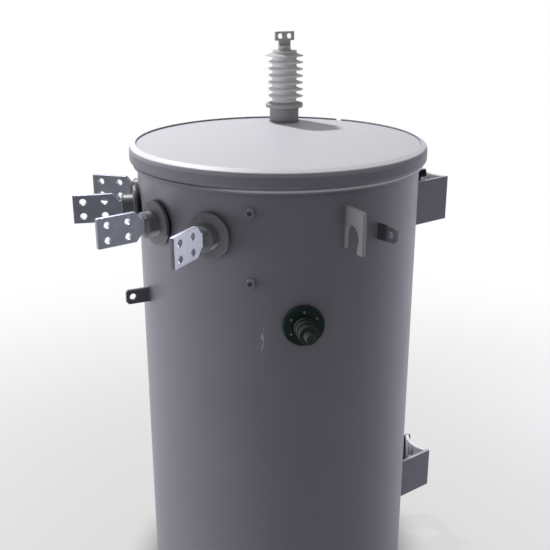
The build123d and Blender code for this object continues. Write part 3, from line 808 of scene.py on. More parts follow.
def resin(colours):
    """Cast resin of the low voltage bushings: satin grey with faint flow marks, painted shade on its flanks
    and, with real staining, in its corners, a painted floor reflection low on its flanks and painted
    highlights on its edges.
    """
    finish, place = new_finish("cast_resin")
    flow = finish.noise(finish.stretched(place, (30.0, 30.0, 90.0)), 1.0, 4.0, 0.6).eased(0.3, 0.7)
    grain = finish.noise(place, 700.0, 2.0)
    tone = finish.blend(flow, rgba(colours.resin, 0.95), rgba(colours.resin, 1.05))
    # Painted shade with real staining: darker and rougher in corners.
    corners = finish.openness(0.014)
    grime_and_shade = (1 - corners).eased(0.25, 0.75)
    tone = finish.blend(grime_and_shade * 0.45, tone, rgba(colours.resin, 0.25))
    facing = finish.facing()
    level = finish.stretched(place, (1.0, 1.0, 0.0))
    radial = finish.node("ShaderNodeVectorMath", {"operation": "NORMALIZE"}, {0: level})
    # Painted shade: faces that don't face away from the tank's axis are darker.
    flank_shade_mask = 1 - finish.dot(facing, radial).eased(0.45, 0.85)
    tone = finish.blend(flank_shade_mask, tone, rgba(colours.resin, 0.56))
    # Painted reflection of the floor, not wear: a lighter streak on the flanks where they face a little down.
    down = finish.dot(facing, -UP)
    rubbed = down.eased(0.25, 0.50) * (1 - down.eased(0.85, 0.97)) * flank_shade_mask
    tone = finish.blend(rubbed * 0.8, tone, rgba(colours.resin, 3.0))
    # Painted highlight: the edges are lighter.
    edge, rounded = edges_of(finish, 0.0012, 0.03, 0.25)
    tone = finish.blend(edge * 0.60, tone, rgba(colours.resin, 1.7))
    roughness = 0.36 + 0.04 * flow + 0.05 * grain + 0.15 * grime_and_shade
    relief = bumped(finish, grain + 0.4 * flow, 0.00008, 0.20, rounded)
    finish.surface(Base_Color=tone, Roughness=roughness, Normal=relief, Specular_IOR_Level=0.50)


def plating(name, base, metal):
    """Plated terminals: milled grain along the blade, duller patches and bright edges."""
    finish, place = new_finish(name)
    grain = finish.noise(finish.stretched(place, (60.0, 60.0, 1500.0)), 1.0, 3.0, 0.6)
    cloud = finish.noise(place, 45.0, 4.0, 0.6).eased(0.3, 0.75)
    tone = finish.blend(cloud, rgba(base, 0.92), rgba(base, 1.05))
    edge, rounded = edges_of(finish, 0.0010, 0.03, 0.22)
    tone = finish.blend(edge * 0.6, tone, rgba(base, 1.7))
    roughness = 0.42 + 0.10 * cloud + 0.08 * grain - 0.05 * edge
    shine = metal * (1 - 0.12 * cloud) * (1 - 0.5 * edge)
    relief = bumped(finish, grain, 0.00006, 0.22, rounded)
    finish.surface(
        Base_Color=tone, Metallic=shine, Roughness=roughness, Normal=relief, Specular_IOR_Level=0.5
    )


def tap_enamel(name, base, painted_light_amount=0.0, painted_light_facing=UP):
    """Green gloss enamel of the tap changer: lighter at its edges in patches as wear with painted highlight,
    lighter on faces turned to one side as painted light, and darker in corners as painted shade.
    """
    finish, place = new_finish(name)
    cloud = finish.noise(place, 60.0, 4.0, 0.6).eased(0.3, 0.7)
    tone = finish.blend(cloud, rgba(base, 0.8), rgba(base, 1.25))
    facing = finish.facing()
    # Painted light: faces turned towards one side are lighter.
    painted_side_light = finish.dot(facing, painted_light_facing).eased(0.10, 0.90)
    tone = finish.blend(painted_side_light * painted_light_amount, tone, rgba(base, 2.6))
    # Painted shade: darker in corners and grooves.
    corners = finish.openness(0.014)
    grime_and_shade = (1 - corners).eased(0.30, 0.80)
    tone = finish.blend(grime_and_shade * 0.8, tone, rgba(base, 0.15))
    edge, rounded = edges_of(finish, 0.0012, 0.03, 0.25)
    # Wear with painted highlight: edges are lighter in patches.
    wear_and_highlight = finish.noise(place, 140.0, 3.0, 0.6).eased(0.40, 0.62)
    tone = finish.blend(edge * wear_and_highlight * 0.4, tone, rgba(base, 2.4))
    roughness = 0.34 + 0.12 * cloud
    relief = bumped(finish, finish.noise(place, 320.0, 2.0), 0.0001, 0.25, rounded)
    finish.surface(Base_Color=tone, Roughness=roughness, Normal=relief, Specular_IOR_Level=0.3)


def rubber(name, base):
    """Moulded rubber, dull, with a dusted look in patches."""
    finish, place = new_finish(name)
    dust_and_top_light = finish.noise(place, 130.0, 4.0, 0.65).eased(0.45, 0.75)
    tone = finish.blend(dust_and_top_light * 0.4, rgba(base), rgba(base, 1.4))
    roughness = 0.68 + 0.15 * dust_and_top_light
    relief = bumped(finish, finish.noise(place, 520.0, 3.0), 0.00015, 0.4, finish.rounded(0.0012))
    finish.surface(Base_Color=tone, Roughness=roughness, Normal=relief, Specular_IOR_Level=0.3)


def zinc(colours):
    """Zinc plated fasteners with a spangle and dark corners."""
    finish, place = new_finish("bolt_zinc")
    spangle = finish.node("ShaderNodeTexVoronoi", None, {"Vector": place, "Scale": 700.0})
    film = finish.noise(place, 160.0, 4.0, 0.6).eased(0.35, 0.7)
    tone = finish.blend(film * 0.6 + spangle * 0.3, rgba(colours.zinc, 0.78), rgba(colours.zinc, 1.12))
    edge, rounded = edges_of(finish, 0.0006, 0.03, 0.25)
    tone = finish.blend(edge * 0.4, tone, rgba(colours.zinc, 1.5))
    roughness = 0.34 + 0.18 * film
    metal = 0.92 - 0.15 * film
    relief = bumped(finish, spangle, 0.00005, 0.2, rounded)
    finish.surface(Base_Color=tone, Metallic=metal, Roughness=roughness, Normal=relief)


def turned_piece(name, profile, matrix, count, finish, slot, nodes=(), crease=35.0, cope=None):
    """Turn a profile and show it as a piece."""
    form = bmesh.new()
    add_turned(form, profile, matrix, count, cope)
    mesh_piece(name, closed_mesh(form, crease), finish, slot, nodes)


def turned_node(node, name, rounding, matrix, count, finish, slot):
    """Stand a turned piece with rounded edges in for an upright round node."""
    low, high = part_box(node)
    radius = (high.x - low.x) / 2
    profile = [(0, low.z), (radius, low.z), (radius, high.z), (0, high.z)]
    turned_piece(name, rounded_path(profile, rounding, False), matrix, count, finish, slot, [node])


def plate_piece(name, outline, holes, thickness, matrix, finish, slot, node):
    """Cut a plate and show it as a piece in place of its node."""
    form = bmesh.new()
    add_plate(form, outline, holes, thickness, bpy.context.scene.transformer_sizes.edge, matrix)
    mesh_piece(name, closed_mesh(form), finish, slot, [node])


class TRANSFORMER_OT_finishes(bpy.types.Operator):
    """Make the finishes of the transformer"""

    bl_idname = "transformer.finishes"
    bl_label = "Finishes"

    def execute(self, context):
        colours = context.scene.transformer_colours
        sizes = context.scene.transformer_sizes
        # Painted top light on the fittings: faces turned up get a paler colour.
        enamel("fitting_enamel", colours.tank, colours.painted_top_light, colours.scuff, 0.40)
        # The band's lip gets painted top light, and within the radius of its cut edge it is painted lighter.
        band_lip = {"painted_top_light_range": (0.15, 0.80), "painted_light_within": (sizes.band_inside, 0.0002, 1.3), "rounding": 0.0045}
        enamel("band_enamel", colours.tank, colours.dust_and_top_light, colours.scuff, 0.40, **band_lip)
        # Painted highlight on the bead under the band, where it faces up and on the right-hand side of the
        # view.
        painted_light_side = (sideways(context.scene.transformer_studio.view_bearing), -0.17, -0.02)
        bead = {"painted_top_light_range": (-0.30, 0.45), "painted_light_side": painted_light_side}
        enamel("rim_enamel", colours.tank, colours.rim, colours.scuff, 0.40, **bead)
        # Painted shade at the side tab's root: darker next to the wall.
        root = (sizes.tank_radius + 0.026, 0.006, 0.40)
        enamel("side_tab_enamel", colours.tank, colours.painted_top_light, colours.scuff, 0.40, painted_light_within=root)
        # Painted shade on the front tab: darker over its whole length.
        root = (sizes.tank_radius + 0.06, 0.006, 0.55)
        enamel("front_tab_enamel", colours.tank, colours.painted_top_light, colours.scuff, 0.40, painted_light_within=root)
        # Painted light: the lugs' enamel is paler than the tank's.
        enamel("lug_enamel", colours.lug, colours.painted_top_light, colours.scuff, 0.42)
        # Painted light: the saddles' enamels are paler than the tank's, the lower one paler still.
        enamel("upper_saddle_enamel", colours.upper_saddle, colours.painted_top_light, colours.scuff, 0.42)
        enamel("lower_saddle_enamel", colours.lower_saddle, colours.dust_and_top_light, colours.scuff, 0.42)
        enamel("lid_enamel", colours.lid, colours.lid, colours.lid, 0.42)
        tank_enamel(colours, sizes)
        low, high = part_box("hv_insulator")
        crown = high.z - sizes.hv_shed_pitch * 1.1
        porcelain("porcelain_glaze", colours.porcelain, low.z + sizes.hv_collar_thickness, crown)
        porcelain("base_glaze", colours.hv_base)
        resin(colours)
        plating("terminal_plating", colours.terminal, 0.80)
        plating("hv_blade_plating", colours.hv_blade, 0.10)
        plating("hv_stud_plating", colours.hv_stud, 0.05)
        tap_enamel("tap_flange_enamel", colours.tap)
        # Painted light on the tap changer's nose: faces turned up and to one side are lighter.
        painted_light_facing = (UP * 0.75 - sideways(sizes.tap_bearing)).normalized()
        tap_enamel("tap_nose_enamel", colours.tap_nose, 0.85, painted_light_facing)
        tap_enamel("tap_bolt_enamel", colours.tap_bolt)
        rubber("moulded_rubber", colours.rubber)
        rubber("hv_gasket_rubber", colours.hv_gasket)
        zinc(colours)
        return {"FINISHED"}


class TRANSFORMER_OT_tank(bpy.types.Operator):
    """Finish the tank, its rim, its lid and the clamp band"""

    bl_idname = "transformer.tank"
    bl_label = "Tank, lid and band"

    def execute(self, context):
        paint("tank_wall_enamel", "tank_wall", "tank_bottom")
        paint("rim_enamel", "tank_rim")
        paint("band_enamel", "clamp_band")
        paint("fitting_enamel", "clamp_ear_left", "clamp_ear_right")
        paint("lid_enamel", "lid")
        paint("moulded_rubber", "lid_gasket")
        for node in ("clamp_ear_left", "clamp_ear_right"):
            soften(node, context.scene.transformer_sizes.edge)
        return {"FINISHED"}


class TRANSFORMER_OT_hangers(bpy.types.Operator):
    """Finish the two hanger brackets"""

    bl_idname = "transformer.hangers"
    bl_label = "Hanger brackets"

    def execute(self, context):
        for level in ("upper", "lower"):
            for part in ("right_plate", "left_plate", "saddle"):
                node = f"{level}_hanger_{part}"
                paint(f"{level}_saddle_enamel" if part == "saddle" else "fitting_enamel", node)
                soften(node, context.scene.transformer_sizes.edge)
        return {"FINISHED"}


class TRANSFORMER_OT_hv_bushing(bpy.types.Operator):
    """Turn the high voltage bushing and cut its blade"""

    bl_idname = "transformer.hv_bushing"
    bl_label = "High voltage bushing"

    def execute(self, context):
        sizes = context.scene.transformer_sizes
        centre = outward(sizes.hv_bearing) * sizes.hv_reach
        upright = Matrix.Translation(centre)

        turned_node("hv_gasket", "hv_gasket_ring", 0.0012, upright, 72, "hv_gasket_rubber", "gasket_rubber")
        turned_node("hv_base", "hv_base_turned", 0.0010, upright, 72, "base_glaze", "hv_porcelain")

        low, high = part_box("hv_insulator")
        core = sizes.hv_core_radius
        shed = sizes.hv_shed_radius
        collar_top = low.z + sizes.hv_collar_thickness
        profile = [(0, low.z), (shed, low.z), (shed, collar_top - sizes.hv_collar_round), (core, collar_top)]
        radii = [0, 0.0015, 0.0025, 0.003]
        for count in range(sizes.hv_shed_count):
            level = collar_top + sizes.hv_first_shed + sizes.hv_shed_pitch * count
            profile += [(core, level), (shed, level)]
            profile += [(shed, level + sizes.hv_shed_edge), (core, level + sizes.hv_shed_rise)]
            radii += [0.0018, 0.0006, 0.0007, 0.004]
        profile += [(core, high.z), (0, high.z)]
        radii += [0.002, 0]
        profile = rounded_path(profile, radii, False, 4)
        glazed = ("porcelain_glaze", "hv_porcelain")
        turned_piece("hv_insulator_glazed", profile, upright, 96, *glazed, ["hv_insulator"], 50.0)

        turned_node("hv_stud", "hv_stud_turned", 0.0012, upright, 64, "hv_stud_plating", "terminal_metal")

        low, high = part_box("hv_terminal")
        half = (high.y - low.y) / 2
        neck = sizes.hv_neck_width / 2
        rise = sizes.hv_neck_height
        top = high.z - low.z
        right_half = [(neck, 0), (neck, rise), (half, rise), (half, top)]
        left_half = [(-x, y) for x, y in reversed(right_half)]
        outline = rounded_path(left_half[-1:] + right_half + left_half[:-1], 0.0010, True)
        middle = (rise + top) / 2
        holes = [circle(side * sizes.hv_hole_spacing / 2, middle, sizes.hv_hole_radius) for side in (-1, 1)]
        facing = axes(Vector((0, 1, 0)), UP, Vector((1, 0, 0)), centre + UP * low.z)
        plated = ("hv_blade_plating", "terminal_metal")
        plate_piece("hv_blade", outline, holes, high.x - low.x, facing, *plated, "hv_terminal")
        return {"FINISHED"}


class TRANSFORMER_OT_lv_bushings(bpy.types.Operator):
    """Turn the four low voltage bushings and cut their four hole blades"""

    bl_idname = "transformer.lv_bushings"
    bl_label = "Low voltage bushings"

    def execute(self, context):
        sizes = context.scene.transformer_sizes
        flange_reach = sizes.tank_radius + sizes.lv_gasket
        stub_end = sizes.lv_flange_thickness + sizes.lv_stub_length
        blade = [
            (0, -sizes.spade_root_width / 2),
            (sizes.spade_root_length, -sizes.spade_root_width / 2),
            (sizes.spade_root_length + sizes.spade_chamfer, -sizes.spade_width / 2),
            (sizes.spade_length, -sizes.spade_width / 2),
            (sizes.spade_length, sizes.spade_width / 2),
            (sizes.spade_root_length + sizes.spade_chamfer, sizes.spade_width / 2),
            (sizes.spade_root_length, sizes.spade_root_width / 2),
            (0, sizes.spade_root_width / 2),
        ]
        blade = rounded_path(blade, 0.0014, True)
        inner = sizes.spade_length - sizes.spade_end - sizes.spade_hole_pitch
        holes = []
        for x in (inner, inner + sizes.spade_hole_pitch):
            for side in (-1, 1):
                holes.append(circle(x, side * sizes.spade_hole_gauge / 2, sizes.spade_hole_radius))
        stub = [
            (0, 0),
            (sizes.lv_flange_radius, 0),
            (sizes.lv_flange_radius, sizes.lv_flange_thickness),
            (sizes.lv_stub_radius, sizes.lv_flange_thickness),
            (sizes.lv_stub_radius, stub_end),
            (0, stub_end),
        ]
        stub = rounded_path(stub, [0, 0.0010, 0.0016, 0.0022, 0.0006, 0], False, 4)
        disc = [(0, stub_end), (sizes.lv_stub_radius, stub_end)]
        disc += [(sizes.lv_stub_radius, stub_end + sizes.lv_disc), (0, stub_end + sizes.lv_disc)]
        disc = rounded_path(disc, 0.0010, False)
        disc_reach = flange_reach + stub_end + sizes.lv_disc
        plated = ("terminal_plating", "terminal_metal")
        for number in LV_NUMBERS:
            angle = sizes.lv_spacing * (number - 2.5)
            seat = wall_axes(angle, flange_reach, sizes.lv_height)
            node = f"lv_bushing_{number}"
            turned_piece(f"{node}_cast", stub, seat, 72, "cast_resin", "bushing_resin", [node])
            node = f"lv_terminal_{number}"
            turned_piece(f"{node}_disc", disc, seat, 72, "cast_resin", "bushing_resin")
            upright = plate_axes(angle, disc_reach, sizes.lv_height)
            plate_piece(f"{node}_blade", blade, holes, sizes.spade_thickness, upright, *plated, node)

            form = bmesh.new()
            for side in (-1, 1):
                shift = Matrix.Translation((side * sizes.lv_screw_side, side * sizes.lv_screw_rise, 0))
                place = wall_axes(angle, disc_reach, sizes.lv_height) @ shift
                add_hex_head(form, sizes.lv_screw_radius, sizes.lv_screw_height, place)
            mesh_piece(f"{node}_screws", closed_mesh(form, 25.0), "bolt_zinc", "bolt_steel")
        paint("moulded_rubber", *[f"lv_gasket_{number}" for number in LV_NUMBERS])
        return {"FINISHED"}


class TRANSFORMER_OT_plates(bpy.types.Operator):
    """Cut the lifting lugs and the earthing tabs"""

    bl_idname = "transformer.plates"
    bl_label = "Lugs and tabs"

    def execute(self, context):
        sizes = context.scene.transformer_sizes
        seat = sizes.tank_radius + sizes.seat_gap
        half = sizes.tab_width / 2
        end = sizes.tab_length
        corner = sizes.tab_corner
        outline = [(0, -half), (end - corner, -half), (end, corner - half), (end, half - corner)]
        outline += [(end - corner, half), (0, half)]
        outline = rounded_path(outline, [0, 0.0015, 0.0015, 0.0015, 0.0015, 0], True)
        holes = [circle(end - sizes.tab_hole_end, 0, sizes.tab_hole_radius)]
        for name, degrees in TAB_DEGREES.items():
            node = f"{name}_earth_tab"
            low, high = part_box(node)
            upright = plate_axes(math.radians(degrees), seat, (low.z + high.z) / 2)
            enamelled = (f"{name}_tab_enamel", "tank_paint")
            plate_piece(f"{node}_plate", outline, holes, sizes.tab_thickness, upright, *enamelled, node)

        left = sizes.lug_leg
        right = sizes.lug_leg + 2 * sizes.lug_seat_radius
        arch = []
        for step in range(1, 24):
            turn = math.pi * step / 24
            x = left + sizes.lug_seat_radius * (1 + math.cos(turn))
            arch.append((x, -sizes.lug_seat_drop + sizes.lug_seat_radius * math.sin(turn)))
        outline = [(0, 0), (0, -sizes.lug_height), (left, -sizes.lug_height), (left, -sizes.lug_seat_drop)]
        outline += list(reversed(arch))
        outline += [(right, -sizes.lug_seat_drop), (right - sizes.lug_toe, -sizes.lug_height)]
        corner = sizes.lug_corner
        low_end = (sizes.lug_reach, -sizes.lug_height)
        tail = rounded_corner(outline[-1], low_end, (sizes.lug_reach, 0), corner, 4)
        tail += rounded_corner(low_end, (sizes.lug_reach, 0), (0, 0), corner, 4)
        outline += tail
        enamelled = ("lug_enamel", "tank_paint")
        for name, degrees in LUG_DEGREES.items():
            node = f"{name}_lifting_lug"
            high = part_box(node)[1]
            upright = plate_axes(math.radians(degrees), seat, high.z)
            plate_piece(f"{node}_plate", outline, [], sizes.lug_thickness, upright, *enamelled, node)
        return {"FINISHED"}


class TRANSFORMER_OT_tap_changer(bpy.types.Operator):
    """Turn the tap changer and set its six bolts"""

    bl_idname = "transformer.tap_changer"
    bl_label = "Tap changer"

    def execute(self, context):
        sizes = context.scene.transformer_sizes
        face = sizes.tank_radius + sizes.tap_flange_thickness
        seat = wall_axes(sizes.tap_bearing, face, sizes.tap_height)
        wall = (sizes.tank_radius + sizes.seat_gap, face)
        radius = sizes.tap_flange_radius
        floor = -sizes.tap_recess
        lip = radius - sizes.tap_lip_width
        chamfer = sizes.tap_chamfer
        rim = [(radius, -sizes.rim_start), (radius, -chamfer), (radius - chamfer, 0), (lip, 0)]
        rim += [(lip - sizes.tap_recess, floor), (0, floor)]
        profile = [(radius, -sizes.tap_flange_thickness)] + rounded_path(rim, 0.0006, False)
        enamelled = ("tap_flange_enamel", "tap_enamel")
        turned_piece("tap_flange_turned", profile, seat, 72, *enamelled, ["tap_flange"], cope=wall)

        enamelled = ("tap_nose_enamel", "tap_enamel")
        nose_end = 0
        profile = [(0, 0)]
        for count in range(3):
            ring = sizes.tap_ring_radius - count * sizes.tap_ring_step
            groove = ring - sizes.tap_groove_depth
            ring_start = nose_end + sizes.tap_groove_length
            profile += [(groove, nose_end), (groove, ring_start)]
            nose_end = ring_start + sizes.tap_ring_width + count * sizes.tap_ring_growth
            profile += [(ring, ring_start), (ring, nose_end)]
        profile += [(0, nose_end)]
        profile = rounded_path(profile, 0.0010, False)
        turned_piece("tap_nose_ribbed", profile, seat, 64, *enamelled, ["tap_nose"])

        end = nose_end + sizes.tap_tip_length
        profile = [(0, nose_end), (sizes.tap_tip_radius, nose_end), (sizes.tap_tip_end_radius, end), (0, end)]
        profile = rounded_path(profile, [0, 0.0005, sizes.tap_tip_round, 0], False, 6)
        turned_piece("tap_tip_turned", profile, seat, 48, *enamelled, ["tap_tip"], 50.0)

        form = bmesh.new()
        for number in range(6):
            turn = math.radians(30 + 60 * number)
            x = sizes.tap_bolt_circle * math.cos(turn)
            y = sizes.tap_bolt_circle * math.sin(turn)
            place = seat @ Matrix.Translation((x, y, floor))
            add_hex_head(form, sizes.tap_bolt_radius, sizes.tap_bolt_height, place)
        mesh_piece("tap_flange_bolts", closed_mesh(form, 25.0), "tap_bolt_enamel", "tap_enamel")
        return {"FINISHED"}


class TRANSFORMER_OT_bosses(bpy.types.Operator):
    """Turn the two bosses on the tank's side"""

    bl_idname = "transformer.bosses"
    bl_label = "Side bosses"

    def execute(self, context):
        sizes = context.scene.transformer_sizes
        face = sizes.tank_radius + sizes.boss_length
        wall = (sizes.tank_radius + sizes.seat_gap, face)
        radius = sizes.boss_radius
        hole = sizes.boss_hole_radius
        depth = -sizes.boss_hole_depth
        rim = [(radius, -sizes.rim_start), (radius, 0), (hole, 0), (hole, depth), (0, depth)]
        profile = [(radius, -sizes.boss_length)] + rounded_path(rim, [0, 0.0012, 0.0008, 0.0003, 0], False, 4)
        enamelled = ("fitting_enamel", "tank_paint")
        for name, height in (("upper", sizes.boss_upper), ("lower", sizes.boss_lower)):
            seat = wall_axes(sizes.boss_bearing, face, height)
            node = f"{name}_side_boss"
            turned_piece(f"{node}_turned", profile, seat, 48, *enamelled, [node], cope=wall)
        return {"FINISHED"}


class TRANSFORMER_OT_vent_plug(bpy.types.Operator):
    """Turn the small dark plug under the band beside the upper hanger"""

    bl_idname = "transformer.vent_plug"
    bl_label = "Vent plug"

    def execute(self, context):
        sizes = context.scene.transformer_sizes
        face = sizes.tank_radius + sizes.plug_length
        wall = (sizes.tank_radius + sizes.seat_gap, face)
        seat = wall_axes(sizes.plug_bearing, face, sizes.plug_height)
        radius = sizes.plug_radius
        neck = radius - sizes.plug_step
        head = -sizes.plug_head
        rim = [(neck, head * 1.5), (neck, head), (radius, head), (radius, 0), (0, 0)]
        profile = [(neck, -sizes.plug_length)] + rounded_path(rim, [0, 0.0006, 0.0010, 0.0020, 0], False, 4)
        turned_piece("vent_plug", profile, seat, 48, "moulded_rubber", "gasket_rubber", cope=wall)
        return {"FINISHED"}


class TRANSFORMER_OT_clamp_bolt(bpy.types.Operator):
    """Make the clamp band's bolt with its thread and the hexagons at both ends"""

    bl_idname = "transformer.clamp_bolt"
    bl_label = "Clamp bolt"

    def execute(self, context):
        sizes = context.scene.transformer_sizes
        angle = sizes.clamp_bearing
        low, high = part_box("clamp_ear_left")
        ear_height = (low.z + high.z) / 2
        reach = sizes.band_outside + sizes.ear_reach / 2
        grip = sizes.ear_half_gap + sizes.ear_thickness
        thread = sizes.clamp_thread
        pitch = sizes.clamp_pitch
        level = -grip - sizes.clamp_end
        shank = [(0, level), (thread * 0.9, level)]
        level += sizes.clamp_run_in
        for _ in range(sizes.clamp_turns):
            shank += [(thread, level), (thread * 0.88, level + pitch / 2)]
            level += pitch
        shank += [(thread * 0.86, level), (0, level)]
        across = axes(UP, outward(angle), sideways(angle), outward(angle) * reach + UP * ear_height)
        form = bmesh.new()
        add_turned(form, shank, across, 32)
        corner = sizes.clamp_hex / 2 / math.cos(math.pi / 6)
        for turn in (0.0, math.pi):
            head = across @ Matrix.Rotation(turn, 4, "X") @ Matrix.Translation((0, 0, grip))
            add_hex_head(form, corner * 0.98, sizes.clamp_head, head)
        mesh_piece("clamp_bolt_threaded", closed_mesh(form, 25.0), "bolt_zinc", "bolt_steel", ["clamp_bolt"])
        return {"FINISHED"}


class TRANSFORMER_OT_welds(bpy.types.Operator):
    """Run the weld beads that join the plates and the bottom to the tank"""

    bl_idname = "transformer.welds"
    bl_label = "Welds"

    def execute(self, context):
        sizes = context.scene.transformer_sizes
        radius = sizes.tank_radius
        size = sizes.weld_leg
        ripple = sizes.weld_step
        enamelled = ("fitting_enamel", "tank_paint")

        upright_plates = (
            ("lug_welds", "lifting_lug", LUG_DEGREES, sizes.lug_thickness / 2 + size * 0.2, size * 0.1, size),
            ("tab_welds", "earth_tab", TAB_DEGREES, sizes.tab_thickness / 2 + size * 0.1, 0.0, size * 0.8),
        )
        for welds, plate, bearings, beside, stand, bead in upright_plates:
            form = bmesh.new()
            for name, degrees in bearings.items():
                low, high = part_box(f"{name}_{plate}")
                angle = math.radians(degrees)
                for side in (-1, 1):
                    ends = [on_wall(radius, angle, side * beside, z, stand) for z in (low.z, high.z)]
                    add_weld(form, ends, bead, ripple)
            mesh_piece(welds, closed_mesh(form, 60.0), *enamelled)

        form = bmesh.new()
        slope = math.tan(sizes.hanger_splay)
        outer = sizes.hanger_half_width
        inner = outer - sizes.hanger_sheet / math.cos(sizes.hanger_splay)
        for level in ("upper", "lower"):
            low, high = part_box(f"{level}_hanger_right_plate")
            for face, beside in ((outer, size * 0.2), (inner, -size * 0.2)):
                depth = radius
                for _ in range(12):
                    depth = math.sqrt(radius**2 - (face + slope * (high.y - depth)) ** 2)
                along = face + slope * (high.y - depth) + beside
                for side in (-1, 1):
                    ends = [on_wall(radius, math.pi, -side * along, z, size * 0.1) for z in (low.z, high.z)]
                    add_weld(form, ends, size, ripple)
        mesh_piece("hanger_welds", closed_mesh(form, 60.0), *enamelled)

        form = bmesh.new()
        seam = [outward(2 * math.pi * i / 240) * radius + UP * sizes.seam_height for i in range(240)]
        add_weld(form, seam, sizes.seam_size, sizes.seam_ripple, closed=True)
        mesh_piece("bottom_seam_weld", closed_mesh(form, 60.0), *enamelled)
        return {"FINISHED"}


def add_lamp(name, place, power, aim, size, tint=(1.0, 1.0, 1.0), shadow=True):
    """A soft rectangular lamp that looks at a height on the tank's axis. A fill lamp casts no shadow."""
    data = bpy.data.lights.new(name, "AREA")
    data.shape = "RECTANGLE"
    data.size = size[0]
    data.size_y = size[1]
    data.energy = power
    data.color = tint
    data.use_shadow = shadow
    lamp = bpy.data.objects.new(name, data)
    lamp.location = place
    lamp.rotation_euler = (UP * aim - place).to_track_quat("-Z", "Y").to_euler()
    lamp.visible_camera = False
    bpy.context.scene.collection.objects.link(lamp)
    return lamp


def link_lamp(lamp, name, pieces, state):
    """Keep a lamp off some pieces, or let it light only these."""
    linked = bpy.data.collections.new(name)
    for piece in pieces:
        linked.objects.link(bpy.data.objects[piece])
    lamp.light_linking.receiver_collection = linked
    for held in linked.collection_objects:
        held.light_linking.link_state = state


def ray_kinds(finish):
    """Whether a ray comes from the camera, and whether it is mirrored or seen through something."""
    kinds = ("Is Camera Ray", "Is Glossy Ray", "Is Transmission Ray")
    camera_ray, glossy, through = [finish.node("ShaderNodeLightPath", output=kind) for kind in kinds]
    return camera_ray, (glossy + through).capped() * (1 - camera_ray)


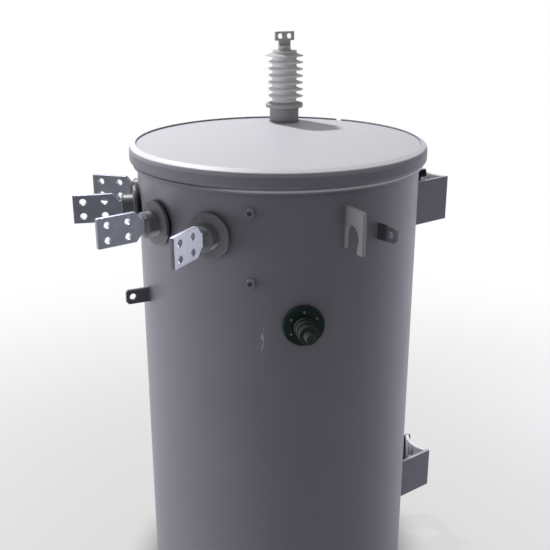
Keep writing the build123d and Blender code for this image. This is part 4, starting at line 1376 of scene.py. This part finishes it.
class TRANSFORMER_OT_stage(bpy.types.Operator):
    """Set the floor, the lamps, the backdrop and the camera"""

    bl_idname = "transformer.stage"
    bl_label = "Studio"

    def execute(self, context):
        studio = context.scene.transformer_studio
        scene = context.scene
        right = sideways(studio.view_bearing)
        away = -outward(studio.view_bearing)

        form = bmesh.new()
        rings = [(0, 0)] + [(reach, 0) for reach in (0.5, 1.0, 2.0, 4.0, 10.0, 25.0, studio.floor_radius)]
        add_turned(form, rings, Matrix.Translation((0, 0, -0.0004)), 96)
        mesh = closed_mesh(form)
        floor = bpy.data.objects.new("studio_floor", mesh)
        scene.collection.objects.link(floor)
        finish, place = new_finish("studio_floor")
        camera_ray, mirror_ray = ray_kinds(finish)
        reach = finish.reach(place)
        # Painted contact shadow and painted shade near the tank: the floor's emission darkens towards the tank
        # and in corners beside it.
        near = reach.eased(0.30, 2.4)
        contact = finish.openness(0.14)
        open_floor = finish.blend(near, (0.74, 0.74, 0.742, 1.0), (1.0, 1.0, 1.0, 1.0))
        pale = finish.blend(contact.eased(0.33, 0.90), (0.12, 0.12, 0.123, 1.0), open_floor)
        front = 1 - finish.dot(place, away).eased(-1.4, 0.4)
        pale = finish.blend(front * mirror_ray * (1 - studio.mirror_level), pale, (0.0, 0.0, 0.0, 1.0))
        glow = finish.node("ShaderNodeEmission", None, {"Color": pale, "Strength": 1.0})
        matt = finish.node("ShaderNodeBsdfDiffuse", None, {"Color": (0.55, 0.55, 0.55, 1.0)})
        share = (camera_ray + mirror_ray).capped() * (0.86 + 0.14 * reach.eased(0.45, 1.9))
        both = finish.node("ShaderNodeMixShader", None, {0: share, 1: matt, 2: glow})
        finish.node("ShaderNodeOutputMaterial", None, {"Surface": both})
        mesh.materials.append(finish_of("studio_floor"))

        world = bpy.data.worlds.new("studio")
        world.use_nodes = True
        scene.world = world
        finish = Finish(world.node_tree)
        direction = finish.node("ShaderNodeTexCoord", output="Generated")
        camera_ray, mirror_ray = ray_kinds(finish)
        behind = finish.dot(direction, away).eased(-0.45, 0.55)
        above = finish.dot(direction, UP).eased(0.15, 0.75)
        lit = studio.front_level + (studio.behind_level - studio.front_level) * behind
        lit = lit + studio.overhead_level * above
        left_side = (0 - finish.dot(direction, right)).eased(-0.25, 0.35)
        backdrop_seen = studio.mirror_right + (1 - studio.mirror_right) * left_side
        mirrored = studio.mirror_level + (backdrop_seen - studio.mirror_level) * behind
        level = camera_ray + mirror_ray * mirrored + (1 - camera_ray - mirror_ray) * lit
        backdrop = finish.node("ShaderNodeBackground", None, {"Color": level, "Strength": 1.0})
        finish.node("ShaderNodeOutputWorld", None, {"Surface": backdrop})

        def spot(place):
            return right * place[0] + away * place[1] + UP * place[2]

        add_lamp("key_lamp", spot(studio.key_place), studio.key_power, aim=1.05, size=(0.20, 0.20))

        place = spot(studio.left_place)
        lamp = add_lamp("left_lamp", place, studio.left_power, aim=0.5, size=(1.0, 1.4))
        lamp.visible_glossy = False
        bushings = [f"lv_bushing_{number}_cast" for number in LV_NUMBERS]
        link_lamp(lamp, "shaded_from_the_left", bushings, "EXCLUDE")

        place = spot(studio.right_place)
        tint = studio.right_tint
        lamp = add_lamp("right_lamp", place, studio.right_power, aim=0.4, size=(0.6, 0.8), tint=tint)
        lamp.visible_glossy = False
        shaded = ["tap_nose_ribbed", "tap_tip_turned", "hv_insulator_glazed", "hv_base_turned"]
        link_lamp(lamp, "shaded_from_the_right", shaded, "EXCLUDE")

        place = spot(studio.blade_place)
        fill = {"tint": studio.blade_tint, "shadow": False}
        lamp = add_lamp("blade_lamp", place, studio.blade_power, aim=0.92, size=(0.6, 0.8), **fill)
        blades = [f"lv_terminal_{number}_blade" for number in LV_NUMBERS]
        link_lamp(lamp, "terminal_blades", blades, "INCLUDE")

        data = bpy.data.cameras.new("photo_camera")
        data.lens = studio.lens
        data.sensor_width = 36.0
        camera = bpy.data.objects.new("photo_camera", data)
        camera.location = studio.camera_place
        camera.rotation_euler = Vector(studio.camera_aim).to_track_quat("-Z", "Y").to_euler()
        scene.collection.objects.link(camera)
        scene.camera = camera
        scene.view_settings.view_transform = "Standard"
        return {"FINISHED"}


STEPS = (
    TRANSFORMER_OT_finishes,
    TRANSFORMER_OT_tank,
    TRANSFORMER_OT_hangers,
    TRANSFORMER_OT_hv_bushing,
    TRANSFORMER_OT_lv_bushings,
    TRANSFORMER_OT_plates,
    TRANSFORMER_OT_tap_changer,
    TRANSFORMER_OT_bosses,
    TRANSFORMER_OT_vent_plug,
    TRANSFORMER_OT_clamp_bolt,
    TRANSFORMER_OT_welds,
    TRANSFORMER_OT_stage,
)


class TRANSFORMER_PT_panel(bpy.types.Panel):
    """Lists the steps that dress the transformer"""

    bl_idname = "TRANSFORMER_PT_panel"
    bl_label = "Transformer"
    bl_space_type = "VIEW_3D"
    bl_region_type = "UI"
    bl_category = "Transformer"

    def draw(self, context):
        column = self.layout.column(align=True)
        for step in STEPS:
            column.operator(step.bl_idname)


GROUPS = {
    "transformer_colours": TransformerColours,
    "transformer_sizes": TransformerSizes,
    "transformer_studio": TransformerStudio,
}


def register():
    for name, group in GROUPS.items():
        bpy.utils.register_class(group)
        setattr(bpy.types.Scene, name, PointerProperty(type=group))
    for step in STEPS:
        bpy.utils.register_class(step)
    bpy.utils.register_class(TRANSFORMER_PT_panel)


def unregister():
    bpy.utils.unregister_class(TRANSFORMER_PT_panel)
    for step in reversed(STEPS):
        bpy.utils.unregister_class(step)
    for name, group in GROUPS.items():
        delattr(bpy.types.Scene, name)
        bpy.utils.unregister_class(group)


def main():
    register()
    bpy.ops.transformer.finishes()
    bpy.ops.transformer.tank()
    bpy.ops.transformer.hangers()
    bpy.ops.transformer.hv_bushing()
    bpy.ops.transformer.lv_bushings()
    bpy.ops.transformer.plates()
    bpy.ops.transformer.tap_changer()
    bpy.ops.transformer.bosses()
    bpy.ops.transformer.vent_plug()
    bpy.ops.transformer.clamp_bolt()
    bpy.ops.transformer.welds()
    bpy.ops.transformer.stage()


if __name__ == "__main__":
    main()
